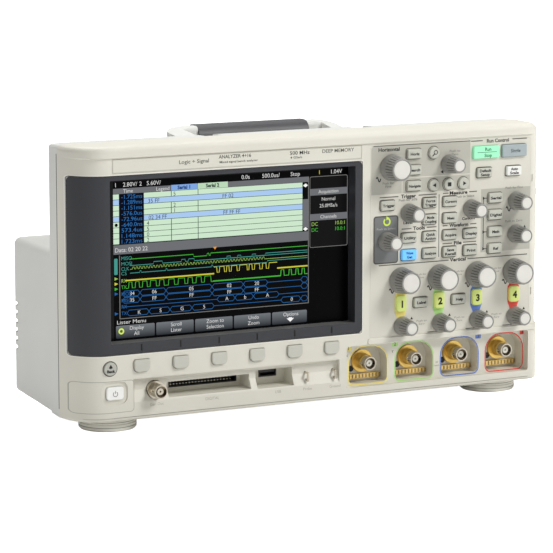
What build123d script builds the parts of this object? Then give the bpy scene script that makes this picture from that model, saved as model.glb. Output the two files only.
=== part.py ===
"""Bench signal analyzer with a logic port: case, front panel, keys, knobs, inputs, handle and insides.

Millimetres. The origin is on the bench, under the middle of the case. +X is to the right seen from
the front, the front panel faces -Y, and +Z is up. Places on the front panel are measured from the
centre of the screen, because every key, knob and socket is laid out from it.
"""
from build123d import *
import math
import os

os.makedirs("parts", exist_ok=True)

# Overall sizes
HALF_W = 188.2
KNOB_TIP_Y = -71.0
REAR_Y = 71.0
FRONT_Y = -55.0
SEAM_Y = -25.0
SEAM_GAP = 0.6
SLAB_REAR_Y = 3.5
SLAB_REAR_R = 14.0
BASE_Z = 8.8
TOP_Z = 201.0
SLAB_REAR_TOP_Z = 199.2
HANDLE_TOP_Z = 200.6
BOX_TOP_Z = 124.8
BOX_HALF_W = 184.0
BOX_BASE_Z = 12.5
BOX_REAR_R = 8.0
WALL = 3.0

# Screen, whose centre is the datum of the front panel
SCREEN_X = -62.0
SCREEN_Z = 120.0
GLASS_Y = FRONT_Y + 10.8

# Curved left end: a quarter ellipse in plan
END_X = -163.0
END_A = HALF_W + END_X
END_B = SEAM_Y - FRONT_Y
CORNER_R = 8.0
BROW_CORNER_R = 12.0
BROW_OUT = 1.4
BROW_Z = 193.0
LIP_Z = 51.2
PANEL_SIDE_STEP = 1.6

# Running parts
KEY_GAP = 0.35
KEY_PROUD = 2.2
SHAFT_R = 3.0
SHAFT_CLEARANCE = 0.05
KNOB_GAP = 0.5
BOARD_Y = -45.0
BOARD_T = 1.6
ENCODER_FRONT_Y = -51.4
KEY_BACK_Y = BOARD_Y - 1.6

# Front panel layout, from the screen centre
SOFTKEY_X = [-76.5 + 30.0 * k for k in range(6)]
CHANNEL_X = [130.3 + 32.0 * k for k in range(4)]
INPUT_X = [107.2 + 38.6 * k for k in range(4)]
INPUT_Z = -88.0
BIG_KNOB = (19.5, 16.0)
SMALL_KNOB = (14.0, 10.4)
KNOBS = {
    "knob_horizontal_scale": (122.0, 54.8, BIG_KNOB),
    "knob_horizontal_position": (170.0, 55.0, SMALL_KNOB),
    "knob_trigger_level": (136.5, 21.0, SMALL_KNOB),
    "knob_cursors": (189.0, 21.0, SMALL_KNOB),
    "knob_entry": (118.0, 1.5, SMALL_KNOB),
    "knob_source_scale": (227.5, 24.5, SMALL_KNOB),
    "knob_source_position": (227.5, 0.0, SMALL_KNOB),
}
for channel, x in enumerate(CHANNEL_X, start=1):
    KNOBS[f"knob_scale_{channel}"] = (x, -28.0, BIG_KNOB)
    KNOBS[f"knob_position_{channel}"] = (x + 1.0, -61.5, SMALL_KNOB)

ROUND_KEY_R = 4.2
# Keys as (left, right, bottom, top); each list is one keypad moulding
MENU_KEYS = [
    (113.0, 124.5, 24.0, 31.0),
    (148.0, 159.5, 24.0, 31.0),
    (148.0, 159.5, 11.8, 18.8),
    (130.5, 142.5, -0.6, 6.3),
    (148.0, 159.5, -0.6, 6.3),
    (130.5, 142.5, -13.4, -5.9),
    (148.0, 159.5, -13.2, -6.0),
    (165.0, 176.5, 24.0, 31.0),
    (165.0, 176.5, 11.8, 18.8),
    (165.0, 176.5, -0.6, 6.3),
    (182.5, 194.0, -0.6, 6.3),
    (165.0, 176.5, -13.2, -6.0),
    (182.5, 194.0, -13.2, -6.0),
]
HORIZONTAL_KEYS = [
    (134.5, 146.0, 60.5, 67.3),
    (134.5, 146.0, 48.8, 55.5),
    (134.5, 146.0, 37.1, 44.1),
]
HORIZONTAL_ROUND = [(157.0, 63.8), (157.0, 40.2), (169.5, 40.2), (182.0, 40.2)]
SETUP_KEYS = [(193.5, 206.0, 43.6, 50.4), (218.5, 231.0, 43.6, 50.4)]
SOURCE_KEYS = [(203.5, 215.0, 24.3 - 12.5 * k, 31.3 - 12.5 * k) for k in range(4)]
LABEL_KEYS = [(141.0, 152.5, -48.8, -41.8), (173.0, 184.5, -48.8, -41.8)]
RUN_KEY = (190.0, 212.0, 57.5, 66.5)
SINGLE_KEY = (214.5, 235.5, 57.5, 66.5)
CHANNEL_KEY_W = 8.3
CHANNEL_KEY_H = 12.0
CHANNEL_KEY_Z = -45.0
PANEL = (105.0, 240.0, -68.5, 71.0)
ENTRY_PATCH = (107.5, 128.0, -15.0, 20.0)
BACK_KEY = (-100.5, -73.3, 4.75)
POWER_KEY = (-103.4, -90.6, -95.5, -86.3)
SOFTKEY_W = 12.0
SOFTKEY_H = 8.8
SOFTKEY_Z = -72.9

# Lower sockets
GEN_X = -65.2
GEN_Z = -91.4
LOGIC_PORT = (-47.2, 6.4, -94.6, -88.9)
LOGIC_POCKET = (-55.6, 9.2, -97.6, -87.1)
LOGIC_MOUTH_Y = -36.0
USB_PORT = (23.8, 36.6, -92.3, -87.7)
USB_POCKET = (14.1, 43.5, -98.0, -85.1)
USB_MOUTH_Y = -38.0
PROBE_X = [54.0, 76.4]
PROBE_Z = -92.4
PROBE_LOOP = 2.6
SHELF_TOP_Z = 37.9
SHELF_BOTTOM_Z = 15.4
SURROUND_Z = (-63.9, 60.6)
SURROUND_RIGHT = 98.0
SURROUND_END_Y = -36.5
POCKET_Y = FRONT_Y + 4.0
CHASSIS_Y = -31.0
BOARD_REAR_Y = -20.0
UPPER_BOSSES = [(-140.0, 189.0), (36.0, 189.0), (181.5, 150.0)]
LOWER_BOSSES = [(-140.0, 19.0), (-48.0, 19.0), (62.6, 19.0), (175.0, 19.0)]
RECESS_Y = FRONT_Y + 6.5
CAVITY_Y = FRONT_Y + 17.0
INPUT_WINDOW = (31.5, 27.0, 12.0, 4.0)
INPUT_WINDOW_Z = -89.5
INPUT_RECESS = (86.0, 240.0, -104.0, -73.5)
INPUT_BACKING = (82.0, 243.0, -106.5, -70.0)
INPUT_EAVE = (103.0, 246.5, -73.5, -69.0)
SHELF_BACKING = (-84.0, 81.0, -106.5, -79.0)
PORT_BACKING = (-60.0, 48.0, -106.5, -79.0)
NAMEPLATE = (-97.5, 97.5, 62.6, 72.3)
TUB = (-101.5, 95.0, -59.0, 60.0)
TUB_OPENING = (-99.5, 92.6, -56.2, 57.6)
SURROUND_FLANGE = (-96.0, 100.3, -66.2, 62.9)
DISPLAY = (-99.0, 96.0, -59.5, 60.5)
FLANGE_R = 8.4
NUT_R = 6.3
BARREL_R = 4.85
BORE_R = 4.05
# Planes in front of and beside everything, for cuts that pass right through
OUT_Y = -80.0
OUT_X = 200.0


def block(x0, x1, y0, y1, z0, z1):
    """Box between two corners, in the case's own frame."""
    return Pos((x0 + x1) / 2, (y0 + y1) / 2, (z0 + z1) / 2) * Box(x1 - x0, y1 - y0, z1 - z0)


def rect(x0, x1, z0, z1, radius=0.0):
    """Front-view rectangle, measured from the screen centre."""
    shape = RectangleRounded(x1 - x0, z1 - z0, radius) if radius else Rectangle(x1 - x0, z1 - z0)
    return Pos((x0 + x1) / 2, (z0 + z1) / 2) * shape


def disc(x, z, radius):
    """Front-view circle, measured from the screen centre."""
    return Pos(x, z) * Circle(radius)


def front(sketch, y_front, y_back):
    """Solid with a front-view outline, between two depths."""
    return Pos(SCREEN_X, y_back, SCREEN_Z) * extrude(Plane.XZ * sketch, y_back - y_front)


def turned(x, z, y_front, y_back, radius_front, radius_back=None):
    """Cone or cylinder along Y at a place measured from the screen centre."""
    radius_back = radius_front if radius_back is None else radius_back
    place = Pos(x + SCREEN_X, (y_front + y_back) / 2, z + SCREEN_Z) * Rot(90, 0, 0)
    if radius_front == radius_back:
        return place * Cylinder(radius_front, y_back - y_front)
    return place * Cone(radius_back, radius_front, y_back - y_front)


def rod(x, y, z, radius, length, along=Axis.Y):
    """Cylinder centred at a point of the case's frame."""
    turn = {"X": Rot(0, 90, 0), "Y": Rot(90, 0, 0), "Z": Rot(0, 0, 0)}
    name = {Axis.X: "X", Axis.Y: "Y", Axis.Z: "Z"}[along]
    return Pos(x, y, z) * turn[name] * Cylinder(radius, length)


def soften(solid, axis, radius, last=False):
    """Round the edges of the face at one end of an axis."""
    faces = solid.faces().sort_by(axis)
    return fillet(faces[-1 if last else 0].edges(), radius)


def save(node, *solids):
    """Write one sub-part, as one solid or as a group of separate ones."""
    shape = solids[0] if len(solids) == 1 else Compound(children=list(solids))
    export_step(shape, f"parts/{node}.step")


def body_plan(inset=0.0, brow=0.0, right=HALF_W, corner=CORNER_R):
    """Outline of the bezel from above: curved left end, flat front and rounded right corner."""
    a = END_A - inset
    b = END_B + brow - inset
    front_y = SEAM_Y - b
    right_x = right - inset
    radius = corner - inset
    edges = [
        EllipticalCenterArc((END_X, SEAM_Y), a, b, start_angle=180, arc_size=90),
        Line((END_X, front_y), (right_x - radius, front_y)),
        CenterArc((right_x - radius, front_y + radius), radius, 270, 90),
        Line((right_x, front_y + radius), (right_x, 0)),
        Line((right_x, 0), (END_X - a, 0)),
        Line((END_X - a, 0), (END_X - a, SEAM_Y)),
    ]
    return make_face(edges)


def slab(z0, z1, **plan):
    """The body outline, raised between two heights."""
    return Pos(0, 0, z0) * extrude(body_plan(**plan), z1 - z0)


def underside(y):
    """Height of the case's underside, flat under the bezel and rising to the rear."""
    return BASE_Z + (BOX_BASE_Z - BASE_Z) * max(0.0, y - SEAM_Y) / (REAR_Y - SEAM_Y)


def side_x(y):
    """Half width of the rear cover, which narrows to the rear."""
    seam_x = HALF_W - PANEL_SIDE_STEP / 2
    return seam_x - (seam_x - BOX_HALF_W) * (y - SEAM_Y) / (REAR_Y - SEAM_Y)


def arch(x, z, width, height, top_radius, bottom_radius):
    """Input window: straight sides, large upper corners and small lower ones."""
    shape = Rectangle(width, height)
    shape = fillet(shape.vertices().group_by(Axis.Y)[-1], top_radius)
    shape = fillet(shape.vertices().group_by(Axis.Y)[0], bottom_radius)
    return Pos(x, z) * shape


def input_windows():
    """The four input windows as one front-view sketch."""
    windows = [arch(x, INPUT_WINDOW_Z, *INPUT_WINDOW) for x in INPUT_X]
    return Sketch() + windows


def softkey_shape(x, grow=0.0):
    """Softkey outline: small upper corners and large lower ones."""
    return arch(x, SOFTKEY_Z, SOFTKEY_W + 2 * grow, SOFTKEY_H + 2 * grow, 1.2 + grow, 3.4 + grow)


def key_holes(gap=KEY_GAP):
    """Front-view sketch of every key and knob hole in the control panel."""
    keys = MENU_KEYS + HORIZONTAL_KEYS + SETUP_KEYS + SOURCE_KEYS + LABEL_KEYS + [RUN_KEY, SINGLE_KEY]
    holes = [rect(x0 - gap, x1 + gap, z0 - gap, z1 + gap, 1.0 + gap) for x0, x1, z0, z1 in keys]
    holes += [disc(x, z, ROUND_KEY_R + gap) for x, z in HORIZONTAL_ROUND]
    holes += [channel_key_shape(x, gap) for x in CHANNEL_X]
    holes += [disc(x, z, SHAFT_R + 0.6) for x, z, sizes in KNOBS.values()]
    return Sketch() + holes


def channel_key_shape(x, grow=0.0):
    """Outline of a channel key."""
    half_w = CHANNEL_KEY_W / 2 + grow
    half_h = CHANNEL_KEY_H / 2 + grow
    return rect(x - half_w, x + half_w, CHANNEL_KEY_Z - half_h, CHANNEL_KEY_Z + half_h, 2.4 + grow)


# ---------------------------------------------------------------- front bezel
def front_bezel():
    """Front moulding with every window, pocket and key hole of the front."""
    lower = soften(slab(BASE_Z, LIP_Z + 9), Axis.Z, 2.2)
    middle = slab(LIP_Z - 1.2, TOP_Z - 3.0, right=HALF_W - PANEL_SIDE_STEP)
    brow = slab(BROW_Z, TOP_Z, brow=BROW_OUT, right=HALF_W - PANEL_SIDE_STEP, corner=BROW_CORNER_R)
    brow = soften(brow, Axis.Z, 4.0, last=True)
    brow = soften(brow, Axis.Z, 0.7)
    shell = lower - block(-OUT_X, OUT_X, OUT_Y, 20, LIP_Z, 70) + middle + brow
    shell -= slab(BASE_Z + WALL, TOP_Z - WALL, inset=WALL)
    # backing blocks that hold the input recess and the lower sockets
    shell += front(rect(*INPUT_BACKING), FRONT_Y + 1, CAVITY_Y + 2)
    shell += front(rect(*SHELF_BACKING), FRONT_Y + 1, FRONT_Y + 9)
    shell += front(rect(*PORT_BACKING), FRONT_Y + 1, LOGIC_MOUTH_Y + 1.5)
    shell += soften(front(rect(*INPUT_EAVE, 2.0), FRONT_Y - 0.9, FRONT_Y + 2.5), Axis.Y, 0.8)
    # bosses for the chassis screws
    for x, z in UPPER_BOSSES + LOWER_BOSSES:
        shell += rod(x, (FRONT_Y + WALL - 0.5 + CHASSIS_Y) / 2, z, 4.0, CHASSIS_Y - FRONT_Y - WALL + 0.5)
        shell -= rod(x, CHASSIS_Y - 2, z, 1.25, 7)
    shell -= block(-OUT_X, OUT_X, SEAM_Y, 30, 0, 210)
    # window for the screen surround, which wraps round the curved end
    shell -= surround_block(0.3)
    x0, x1, z0, z1 = NAMEPLATE
    shell -= front(rect(x0 - 0.3, x1 + 0.3, z0 - 0.3, z1 + 0.3, 1.0), OUT_Y, FRONT_Y + 0.5)
    # rebate and window of the control panel
    x0, x1, z0, z1 = PANEL
    shell -= front(rect(x0 - 0.1, x1 + 0.1, z0 - 0.1, z1 + 0.1, 1.6), FRONT_Y - 0.01, FRONT_Y + 2)
    shell -= front(rect(x0 + 3.5, x1 - 3.5, z0 + 2, z1 - 2, 1.0), OUT_Y, FRONT_Y + WALL + 1)
    # softkeys, back key and power button
    shell -= front(Sketch() + [softkey_shape(x, KEY_GAP) for x in SOFTKEY_X], OUT_Y, FRONT_Y + WALL + 1)
    shell -= turned(BACK_KEY[0], BACK_KEY[1], OUT_Y, FRONT_Y + WALL + 1, BACK_KEY[2] + KEY_GAP)
    shell -= front(power_shape(KEY_GAP), OUT_Y, FRONT_Y + WALL + 1)
    shell -= front(power_shape(3.4), FRONT_Y - 1, FRONT_Y + 1.0)
    shell -= socket_pocket()
    # input recess with its four windows
    shell -= front(rect(*INPUT_RECESS, 2.0), OUT_Y, RECESS_Y)
    shell -= front(input_windows(), OUT_Y, CAVITY_Y)
    for x in INPUT_X:
        shell -= turned(x, INPUT_Z, OUT_Y, -20, 8.6)
    notches = [rect(PANEL[1] + 1.2, PANEL[1] + 1.9, z, z + 5.5) for z in (37.8, -46.8)]
    shell -= front(Sketch() + notches, OUT_Y, FRONT_Y + 2)
    return shell


def power_shape(grow=0.0):
    """Outline of the power button."""
    x0, x1, z0, z1 = POWER_KEY
    return rect(x0 - grow, x1 + grow, z0 - grow, z1 + grow, 2.0 + grow)


def socket_pocket():
    """Sloping recess along the lower left, with a deeper pocket for each socket."""
    top, bottom = SHELF_TOP_Z, SHELF_BOTTOM_Z
    wedge = Polyline((FRONT_Y - 3, top), (POCKET_Y, top), (POCKET_Y, top - 8.5), (FRONT_Y - 3, bottom), close=True)
    face = make_face(wedge)
    cut = Pos(-83 + SCREEN_X, 0, 0) * extrude(Plane.YZ * face, 163)
    cut += front(rect(*LOGIC_POCKET, 1.0), OUT_Y, LOGIC_MOUTH_Y)
    x0, x1, z0, z1 = LOGIC_PORT
    cut += front(rect(x0 - 0.1, x1 + 0.1, z0 - 0.1, z1 + 0.1), OUT_Y, -30)
    cut += front(rect(*USB_POCKET, 1.0), OUT_Y, USB_MOUTH_Y)
    x0, x1, z0, z1 = USB_PORT
    cut += front(rect(x0 - 0.8, x1 + 0.8, z0 - 0.8, z1 + 0.8), OUT_Y, -30)
    cut += turned(GEN_X, GEN_Z, OUT_Y, -30, 6.6)
    for x in PROBE_X:
        cut += turned(x, PROBE_Z - PROBE_LOOP, OUT_Y, -30, 0.9)
        cut += turned(x, PROBE_Z + PROBE_LOOP, OUT_Y, -30, 0.9)
    return cut


def surround_block(grow=0.0):
    """Space of the screen surround: a front window that ends with rounded corners on the curved end."""
    z0, z1 = SURROUND_Z
    side = rect(-80, SURROUND_END_Y + grow, z0 + SCREEN_Z - grow, z1 + SCREEN_Z + grow, 4.0)
    space = Pos(-OUT_X, 0, 0) * extrude(Plane.YZ * side, 2 * OUT_X)
    return space & front(rect(-150, SURROUND_RIGHT + grow, z0 - grow, z1 + grow, 3.0 + grow), -70, 0)


def screen_surround():
    """Dark frame that follows the front and its curved end, with the tub down to the glass."""
    ring = slab(56.1, 180.6) - slab(50, 190, inset=2.5)
    ring &= surround_block()
    ring += front(rect(*SURROUND_FLANGE), FRONT_Y + WALL, FRONT_Y + WALL + 1.5)
    tub = rect(*TUB, 1.5)
    ring += front(tub, FRONT_Y + 1, GLASS_Y)
    opening = front(rect(*TUB_OPENING, 0.8), OUT_Y, GLASS_Y + 1)
    ring -= opening
    for x in SOFTKEY_X:
        ring -= front(rect(x - 0.6, x + 0.6, -62.5, -57.6), OUT_Y, FRONT_Y + 0.5)
    return ring


def lcd_module():
    """Display panel with its metal back frame."""
    panel = front(rect(*DISPLAY), GLASS_Y, GLASS_Y + 6)
    return panel + front(rect(-94, 94, -56, 56), GLASS_Y + 6, CHASSIS_Y)


def control_panel():
    """Printed panel plate with clearance holes for every key and shaft."""
    plate = front(rect(*PANEL, 1.5), FRONT_Y, FRONT_Y + 2)
    x0, x1, z0, z1 = ENTRY_PATCH
    plate -= front(rect(x0, x1, z0, z1, 2.2), FRONT_Y - 1, FRONT_Y + 0.6)
    plate -= front(key_holes(), FRONT_Y - 1, FRONT_Y + 3)
    return plate


def entry_panel():
    """Dark inlay round the entry knob."""
    x0, x1, z0, z1 = ENTRY_PATCH
    patch = front(rect(x0 + 0.1, x1 - 0.1, z0 + 0.1, z1 - 0.1, 2.1), FRONT_Y - 0.2, FRONT_Y + 0.6)
    knob_x, knob_z, _ = KNOBS["knob_entry"]
    return patch - turned(knob_x, knob_z, OUT_Y, 0, SHAFT_R + 0.6)


def nameplate():
    """Blank identification strip above the screen."""
    return soften(front(rect(*NAMEPLATE, 0.8), FRONT_Y - 0.1, FRONT_Y + 0.5), Axis.Y, 0.05)


# ---------------------------------------------------------------- knobs and keys
def knob(x, z, sizes):
    """Tapered knob with a domed tip and its shaft."""
    base, tip = sizes
    skirt_y = FRONT_Y - KNOB_GAP
    body = turned(x, z, KNOB_TIP_Y, skirt_y, tip / 2, base / 2)
    body = fillet(body.edges().sort_by(Axis.Y)[0], 1.0)
    return body + turned(x, z, skirt_y - 0.5, BOARD_Y - 0.6, SHAFT_R)


def cap(sketch, proud=KEY_PROUD, edge=0.7, front_y=FRONT_Y):
    """Key cap that stands proud of a surface, with a softened rim."""
    return soften(front(sketch, front_y - proud, KEY_BACK_Y), Axis.Y, edge)


def key_group(keys, rounds=()):
    """Key caps of one keypad moulding."""
    caps = [cap(rect(x0, x1, z0, z1, 1.0)) for x0, x1, z0, z1 in keys]
    return caps + [cap(disc(x, z, ROUND_KEY_R)) for x, z in rounds]


def keypad_board():
    """Circuit boards behind the keys, with the rotary encoders."""
    board = front(rect(103.0, 238.5, -66.5, 69.0), BOARD_Y, BOARD_Y + BOARD_T)
    for z in (-60.0, -5.0, 30.0, 50.0):
        board += front(rect(103.0, 107.0, z, z + 10), FRONT_Y + WALL, BOARD_Y)
        board += front(rect(237.0, 238.5, z, z + 10), FRONT_Y + WALL, BOARD_Y)
    for x, z, sizes in KNOBS.values():
        encoder = front(rect(x - 5.5, x + 5.5, z - 4.0, z + 4.0), ENCODER_FRONT_Y + 2.0, BOARD_Y)
        board += encoder + turned(x, z, ENCODER_FRONT_Y, BOARD_Y, 4.4)
    for x, z, sizes in KNOBS.values():
        board -= turned(x, z, -60, BOARD_Y, SHAFT_R + SHAFT_CLEARANCE)
    strip = front(rect(-108, 80, -78.8, -67.6), BOARD_Y, BOARD_Y + BOARD_T)
    power = front(rect(-106, -87, -97, -78.8), BOARD_Y, BOARD_Y + BOARD_T)
    return [board, strip + power]


# ---------------------------------------------------------------- sockets
def bnc(x, z, tip_y, seat_y, tail_y, nut=2.2):
    """Bayonet socket: barrel with two studs, insulator, centre contact and rear body."""
    barrel = turned(x, z, tip_y, seat_y, BARREL_R)
    barrel -= turned(x, z, tip_y - 1, tip_y + 9.0, BORE_R)
    barrel += turned(x, z, tip_y + 1.6, tip_y + 9.0, 2.4)
    barrel -= turned(x, z, tip_y - 1, tip_y + 6.5, 0.75)
    barrel += rod(x + SCREEN_X, tip_y + 4.5, z + SCREEN_Z, 0.95, 11.0, Axis.X)
    barrel -= turned(x, z, tip_y + 2.0, tip_y + 7.5, BORE_R) - turned(x, z, tip_y, tip_y + 9.0, 2.4)
    barrel += turned(x, z, seat_y - nut, seat_y, NUT_R)
    return barrel + turned(x, z, seat_y, tail_y, 5.2)


def bnc_sockets():
    """The four signal inputs and the generator output."""
    inputs = [bnc(x, INPUT_Z, FRONT_Y + 3.0, CAVITY_Y, BOARD_REAR_Y) for x in INPUT_X]
    return inputs + [bnc(GEN_X, GEN_Z, FRONT_Y - 8.0, POCKET_Y + 1.0, BOARD_REAR_Y, nut=4.6)]


def input_flanges():
    """Plated ring round each input, with the contact strip under it."""
    rings = []
    for x in INPUT_X:
        ring = turned(x, INPUT_Z, CAVITY_Y - 1.6, CAVITY_Y - 0.4, FLANGE_R)
        ring += turned(x, INPUT_Z, CAVITY_Y - 0.4, CAVITY_Y + 2.0, 8.5)
        strip = front(rect(x - 14.2, x + 14.2, -100.8, -97.2), CAVITY_Y - 2.4, CAVITY_Y)
        rings += [ring - turned(x, INPUT_Z, OUT_Y, 0, 6.35), strip]
    return rings


def logic_port():
    """Digital channel header: shrouded pins in two rows."""
    x0, x1, z0, z1 = LOGIC_PORT
    mouth_y = LOGIC_MOUTH_Y
    shroud = front(rect(x0, x1, z0, z1), mouth_y, BOARD_REAR_Y)
    shroud -= front(rect(x0 + 0.8, x1 - 0.8, z0 + 0.7, z1 - 0.7), mouth_y - 1, mouth_y + 9.0)
    middle = (z0 + z1) / 2
    for k in range(20):
        for z in (middle - 1.0, middle + 1.0):
            pin_x = x0 + 2.4 + 2.48 * k
            shroud += front(rect(pin_x - 0.25, pin_x + 0.25, z - 0.25, z + 0.25), mouth_y + 2.0, mouth_y + 9.5)
    return shroud


def usb_port():
    """USB socket with its tongue."""
    x0, x1, z0, z1 = USB_PORT
    mouth_y = USB_MOUTH_Y - 0.4
    shell = front(rect(x0 - 0.6, x1 + 0.6, z0 - 0.6, z1 + 0.6), mouth_y, BOARD_REAR_Y)
    shell -= front(rect(x0, x1, z0, z1), mouth_y - 1, mouth_y + 9.0)
    return shell + front(rect(x0 + 0.6, x1 - 0.6, z1 - 2.2, z1 - 0.5), mouth_y + 0.8, mouth_y + 9.5)


def probe_terminals():
    """Two wire loops for probe compensation and ground."""
    loops = []
    tip_y = POCKET_Y - 4.8
    for x in PROBE_X:
        low_leg = turned(x, PROBE_Z - PROBE_LOOP, tip_y, -42.5, 0.7)
        high_leg = turned(x, PROBE_Z + PROBE_LOOP, tip_y, -42.5, 0.7)
        bar = rod(x + SCREEN_X, tip_y, PROBE_Z + SCREEN_Z, 0.8, 2 * PROBE_LOOP + 1.6, Axis.Z)
        loops.append(low_leg + high_leg + bar)
    return loops


# ---------------------------------------------------------------- rear cover
FAN_X = 120.0
FAN_Z = 72.0
FAN_R = 28.0
INLET_X = -140.0
INLET_Z = 42.0
IO_PANEL = (-110.0, 40.0, 30.0, 62.0)
MODULE = (-98.0, -8.0, 74.0, 108.0)
PIVOT_Y = -6.0
PIVOT_Z = 193.6
ARM_X = 61.5
ARM_W = 12.0
BOX_FRONT_Y = -12.0
VENTS = [76.7 - 6.4 * k for k in range(6)]
VENT_H = 3.3
VENT_REACH = 11.0
COVER_SCREWS = [(-176, 24), (176, 24), (-176, 112), (176, 112)]


def cover_outline(y_front, y_rear, radius, inset=0.0):
    """Tapered outline of the rear cover between two depths, with rounded rear corners."""
    front_x, rear_x = side_x(y_front) - inset, side_x(y_rear) - inset
    outline = Polyline(
        (-front_x, y_front), (front_x, y_front), (rear_x, y_rear - inset), (-rear_x, y_rear - inset), close=True)
    face = make_face(outline)
    return fillet(face.vertices().group_by(Axis.Y)[-1], radius - inset)


def cover_part(y_front, y_rear, radius, top_front, top_rear, inset=0.0):
    """Part of the cover: its outline, raised from the sloping underside to a sloping top."""
    plan = Pos(0, 0, -10) * extrude(cover_outline(y_front, y_rear, radius, inset), 240)
    profile = Polyline(
        (y_front, underside(y_front) + inset), (y_front, top_front - inset), (y_rear, top_rear - inset),
        (y_rear, underside(y_rear) + inset), close=True)
    return plan & Pos(-OUT_X, 0, 0) * extrude(Plane.YZ * make_face(profile), 2 * OUT_X)


def rear_cover():
    """Thin upper housing and the deep lower box behind it, as one moulding."""
    seam = SEAM_Y + SEAM_GAP
    upper = cover_part(seam, SLAB_REAR_Y, SLAB_REAR_R, TOP_Z - 0.4, SLAB_REAR_TOP_Z)
    upper = fillet(upper.faces().sort_by(Axis.Z)[-1].edges().filter_by(lambda e: e.center().Y > SEAM_Y + 2), 2.5)
    deep = cover_part(BOX_FRONT_Y, REAR_Y, BOX_REAR_R, BOX_TOP_Z, BOX_TOP_Z)
    deep = fillet(deep.faces().sort_by(Axis.Z)[-1].edges().filter_by(lambda e: e.center().Y > 1), 5.0)
    deep = fillet(deep.faces().sort_by(Axis.Z)[0].edges().filter_by(lambda e: e.center().Y > 1), 3.0)
    cover = upper + deep
    # one cavity from the seam to the rear wall
    cover -= cover_part(SEAM_Y - 10, SLAB_REAR_Y, SLAB_REAR_R, TOP_Z - 0.4, SLAB_REAR_TOP_Z, inset=WALL)
    cover -= cover_part(BOX_FRONT_Y, REAR_Y, BOX_REAR_R, BOX_TOP_Z, BOX_TOP_Z, inset=WALL)
    # tongue that locates in the bezel
    tongue = slab(BASE_Z + WALL, TOP_Z - WALL, inset=WALL)
    tongue -= slab(BASE_Z + WALL + 1.4, TOP_Z - WALL - 1.4, inset=WALL + 1.6)
    cover += tongue & block(-OUT_X, OUT_X, SEAM_Y - 3, SEAM_Y + 6, 0, 210)
    # handle wells and their pivot bosses
    for side in (-ARM_X, ARM_X):
        half = ARM_W / 2 + 0.6
        cover += block(side - half - 3, side + half + 3, PIVOT_Y - 9, SLAB_REAR_Y - 1, PIVOT_Z - 11, TOP_Z - 4)
        cover -= block(side - half, side + half, PIVOT_Y - 7.0, 20, PIVOT_Z - 7.5, 220)
        cover -= rod(side, PIVOT_Y, PIVOT_Z, SHAFT_R + SHAFT_CLEARANCE, ARM_W + 5.0, Axis.X)
    cover -= [rod(x, REAR_Y, z, 3.4, 3.6) for x, z in COVER_SCREWS]
    cover -= vents()
    cover -= rear_openings()
    return cover


def vents():
    """Six slots round the rear left edge, and a row of slots under the fan."""
    cut = []
    for z in VENTS:
        cut.append(block(-OUT_X, 12 - BOX_HALF_W, REAR_Y - VENT_REACH, REAR_Y + 5, z - VENT_H / 2, z + VENT_H / 2))
        cut.append(block(BOX_HALF_W - 12, OUT_X, REAR_Y - VENT_REACH, REAR_Y + 5, z - VENT_H / 2, z + VENT_H / 2))
    for k in range(9):
        dz = (k - 4) * 6.2
        reach = math.sqrt(FAN_R**2 - dz**2)
        slot = block(FAN_X - reach, FAN_X + reach, REAR_Y - 10, REAR_Y + 5, FAN_Z + dz - 1.6, FAN_Z + dz + 1.6)
        cut.append(slot)
    return cut


def rear_openings():
    """Recessed connector panel, inlet, module slot and lock slot."""
    x0, x1, z0, z1 = MODULE
    return [
        block(INLET_X - 14.2, INLET_X + 14.2, REAR_Y - 10, REAR_Y + 5, INLET_Z - 10.2, INLET_Z + 10.2),
        block(x0, x1, REAR_Y - 10, REAR_Y + 5, z0, z1),
        block(IO_PANEL[0], IO_PANEL[1], REAR_Y - 10, REAR_Y + 5, IO_PANEL[2], IO_PANEL[3]),
        block(160, 167, REAR_Y - 10, REAR_Y + 5, 30, 33),
    ]


def module_cover():
    """Blank plate over the option slot."""
    x0, x1, z0, z1 = MODULE
    plate = block(x0 + 0.3, x1 - 0.3, REAR_Y - 1.8, REAR_Y - 0.3, z0 + 0.3, z1 - 0.3)
    flange = block(x0 - 4, x1 + 4, REAR_Y - WALL - 1.5, REAR_Y - WALL, z0 - 4, z1 + 4)
    return plate + flange + block(x0 + 1, x1 - 1, REAR_Y - WALL - 1, REAR_Y - 1, z0 + 1, z1 - 1)


REAR_BNC = [(-96.0, 46.0), (-74.0, 46.0)]
REAR_PORT_Y = REAR_Y - 12.0


def rear_connectors():
    """Tray with two bayonet sockets, a square USB socket, a network jack and a video socket."""
    x0, x1, z0, z1 = IO_PANEL
    tray = block(x0 - 4, x1 + 4, REAR_Y - WALL - 1.2, REAR_Y - WALL, z0 - 4, z1 + 4)
    tray += block(x0, x1, REAR_PORT_Y, REAR_Y - WALL, z0, z1)
    tray -= block(x0 + 1.2, x1 - 1.2, REAR_PORT_Y + 1.2, REAR_Y + 5, z0 + 1.2, z1 - 1.2)
    for x, z in REAR_BNC:
        tray += rod(x, REAR_PORT_Y + 5.5, z, NUT_R, 3.0)
        tray += rod(x, REAR_PORT_Y + 6.0, z, BARREL_R, 11.0)
        tray -= rod(x, REAR_PORT_Y + 10.0, z, BORE_R, 8.0)
        tray += rod(x, REAR_PORT_Y + 6.0, z, 2.2, 8.0)
    tray += block(-58, -44, REAR_PORT_Y, REAR_PORT_Y + 6, 39, 53)
    tray -= block(-55.2, -46.8, REAR_PORT_Y + 0.6, REAR_Y, 42, 50)
    tray += block(-34, -16, REAR_PORT_Y, REAR_PORT_Y + 6, 38, 54)
    tray -= block(-31, -19, REAR_PORT_Y + 0.6, REAR_Y, 41.5, 50.5)
    tray += block(-4, 32, REAR_PORT_Y, REAR_PORT_Y + 5, 40, 52)
    tray -= block(5, 23, REAR_PORT_Y + 1.5, REAR_Y, 41.8, 50.2)
    return tray


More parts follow.
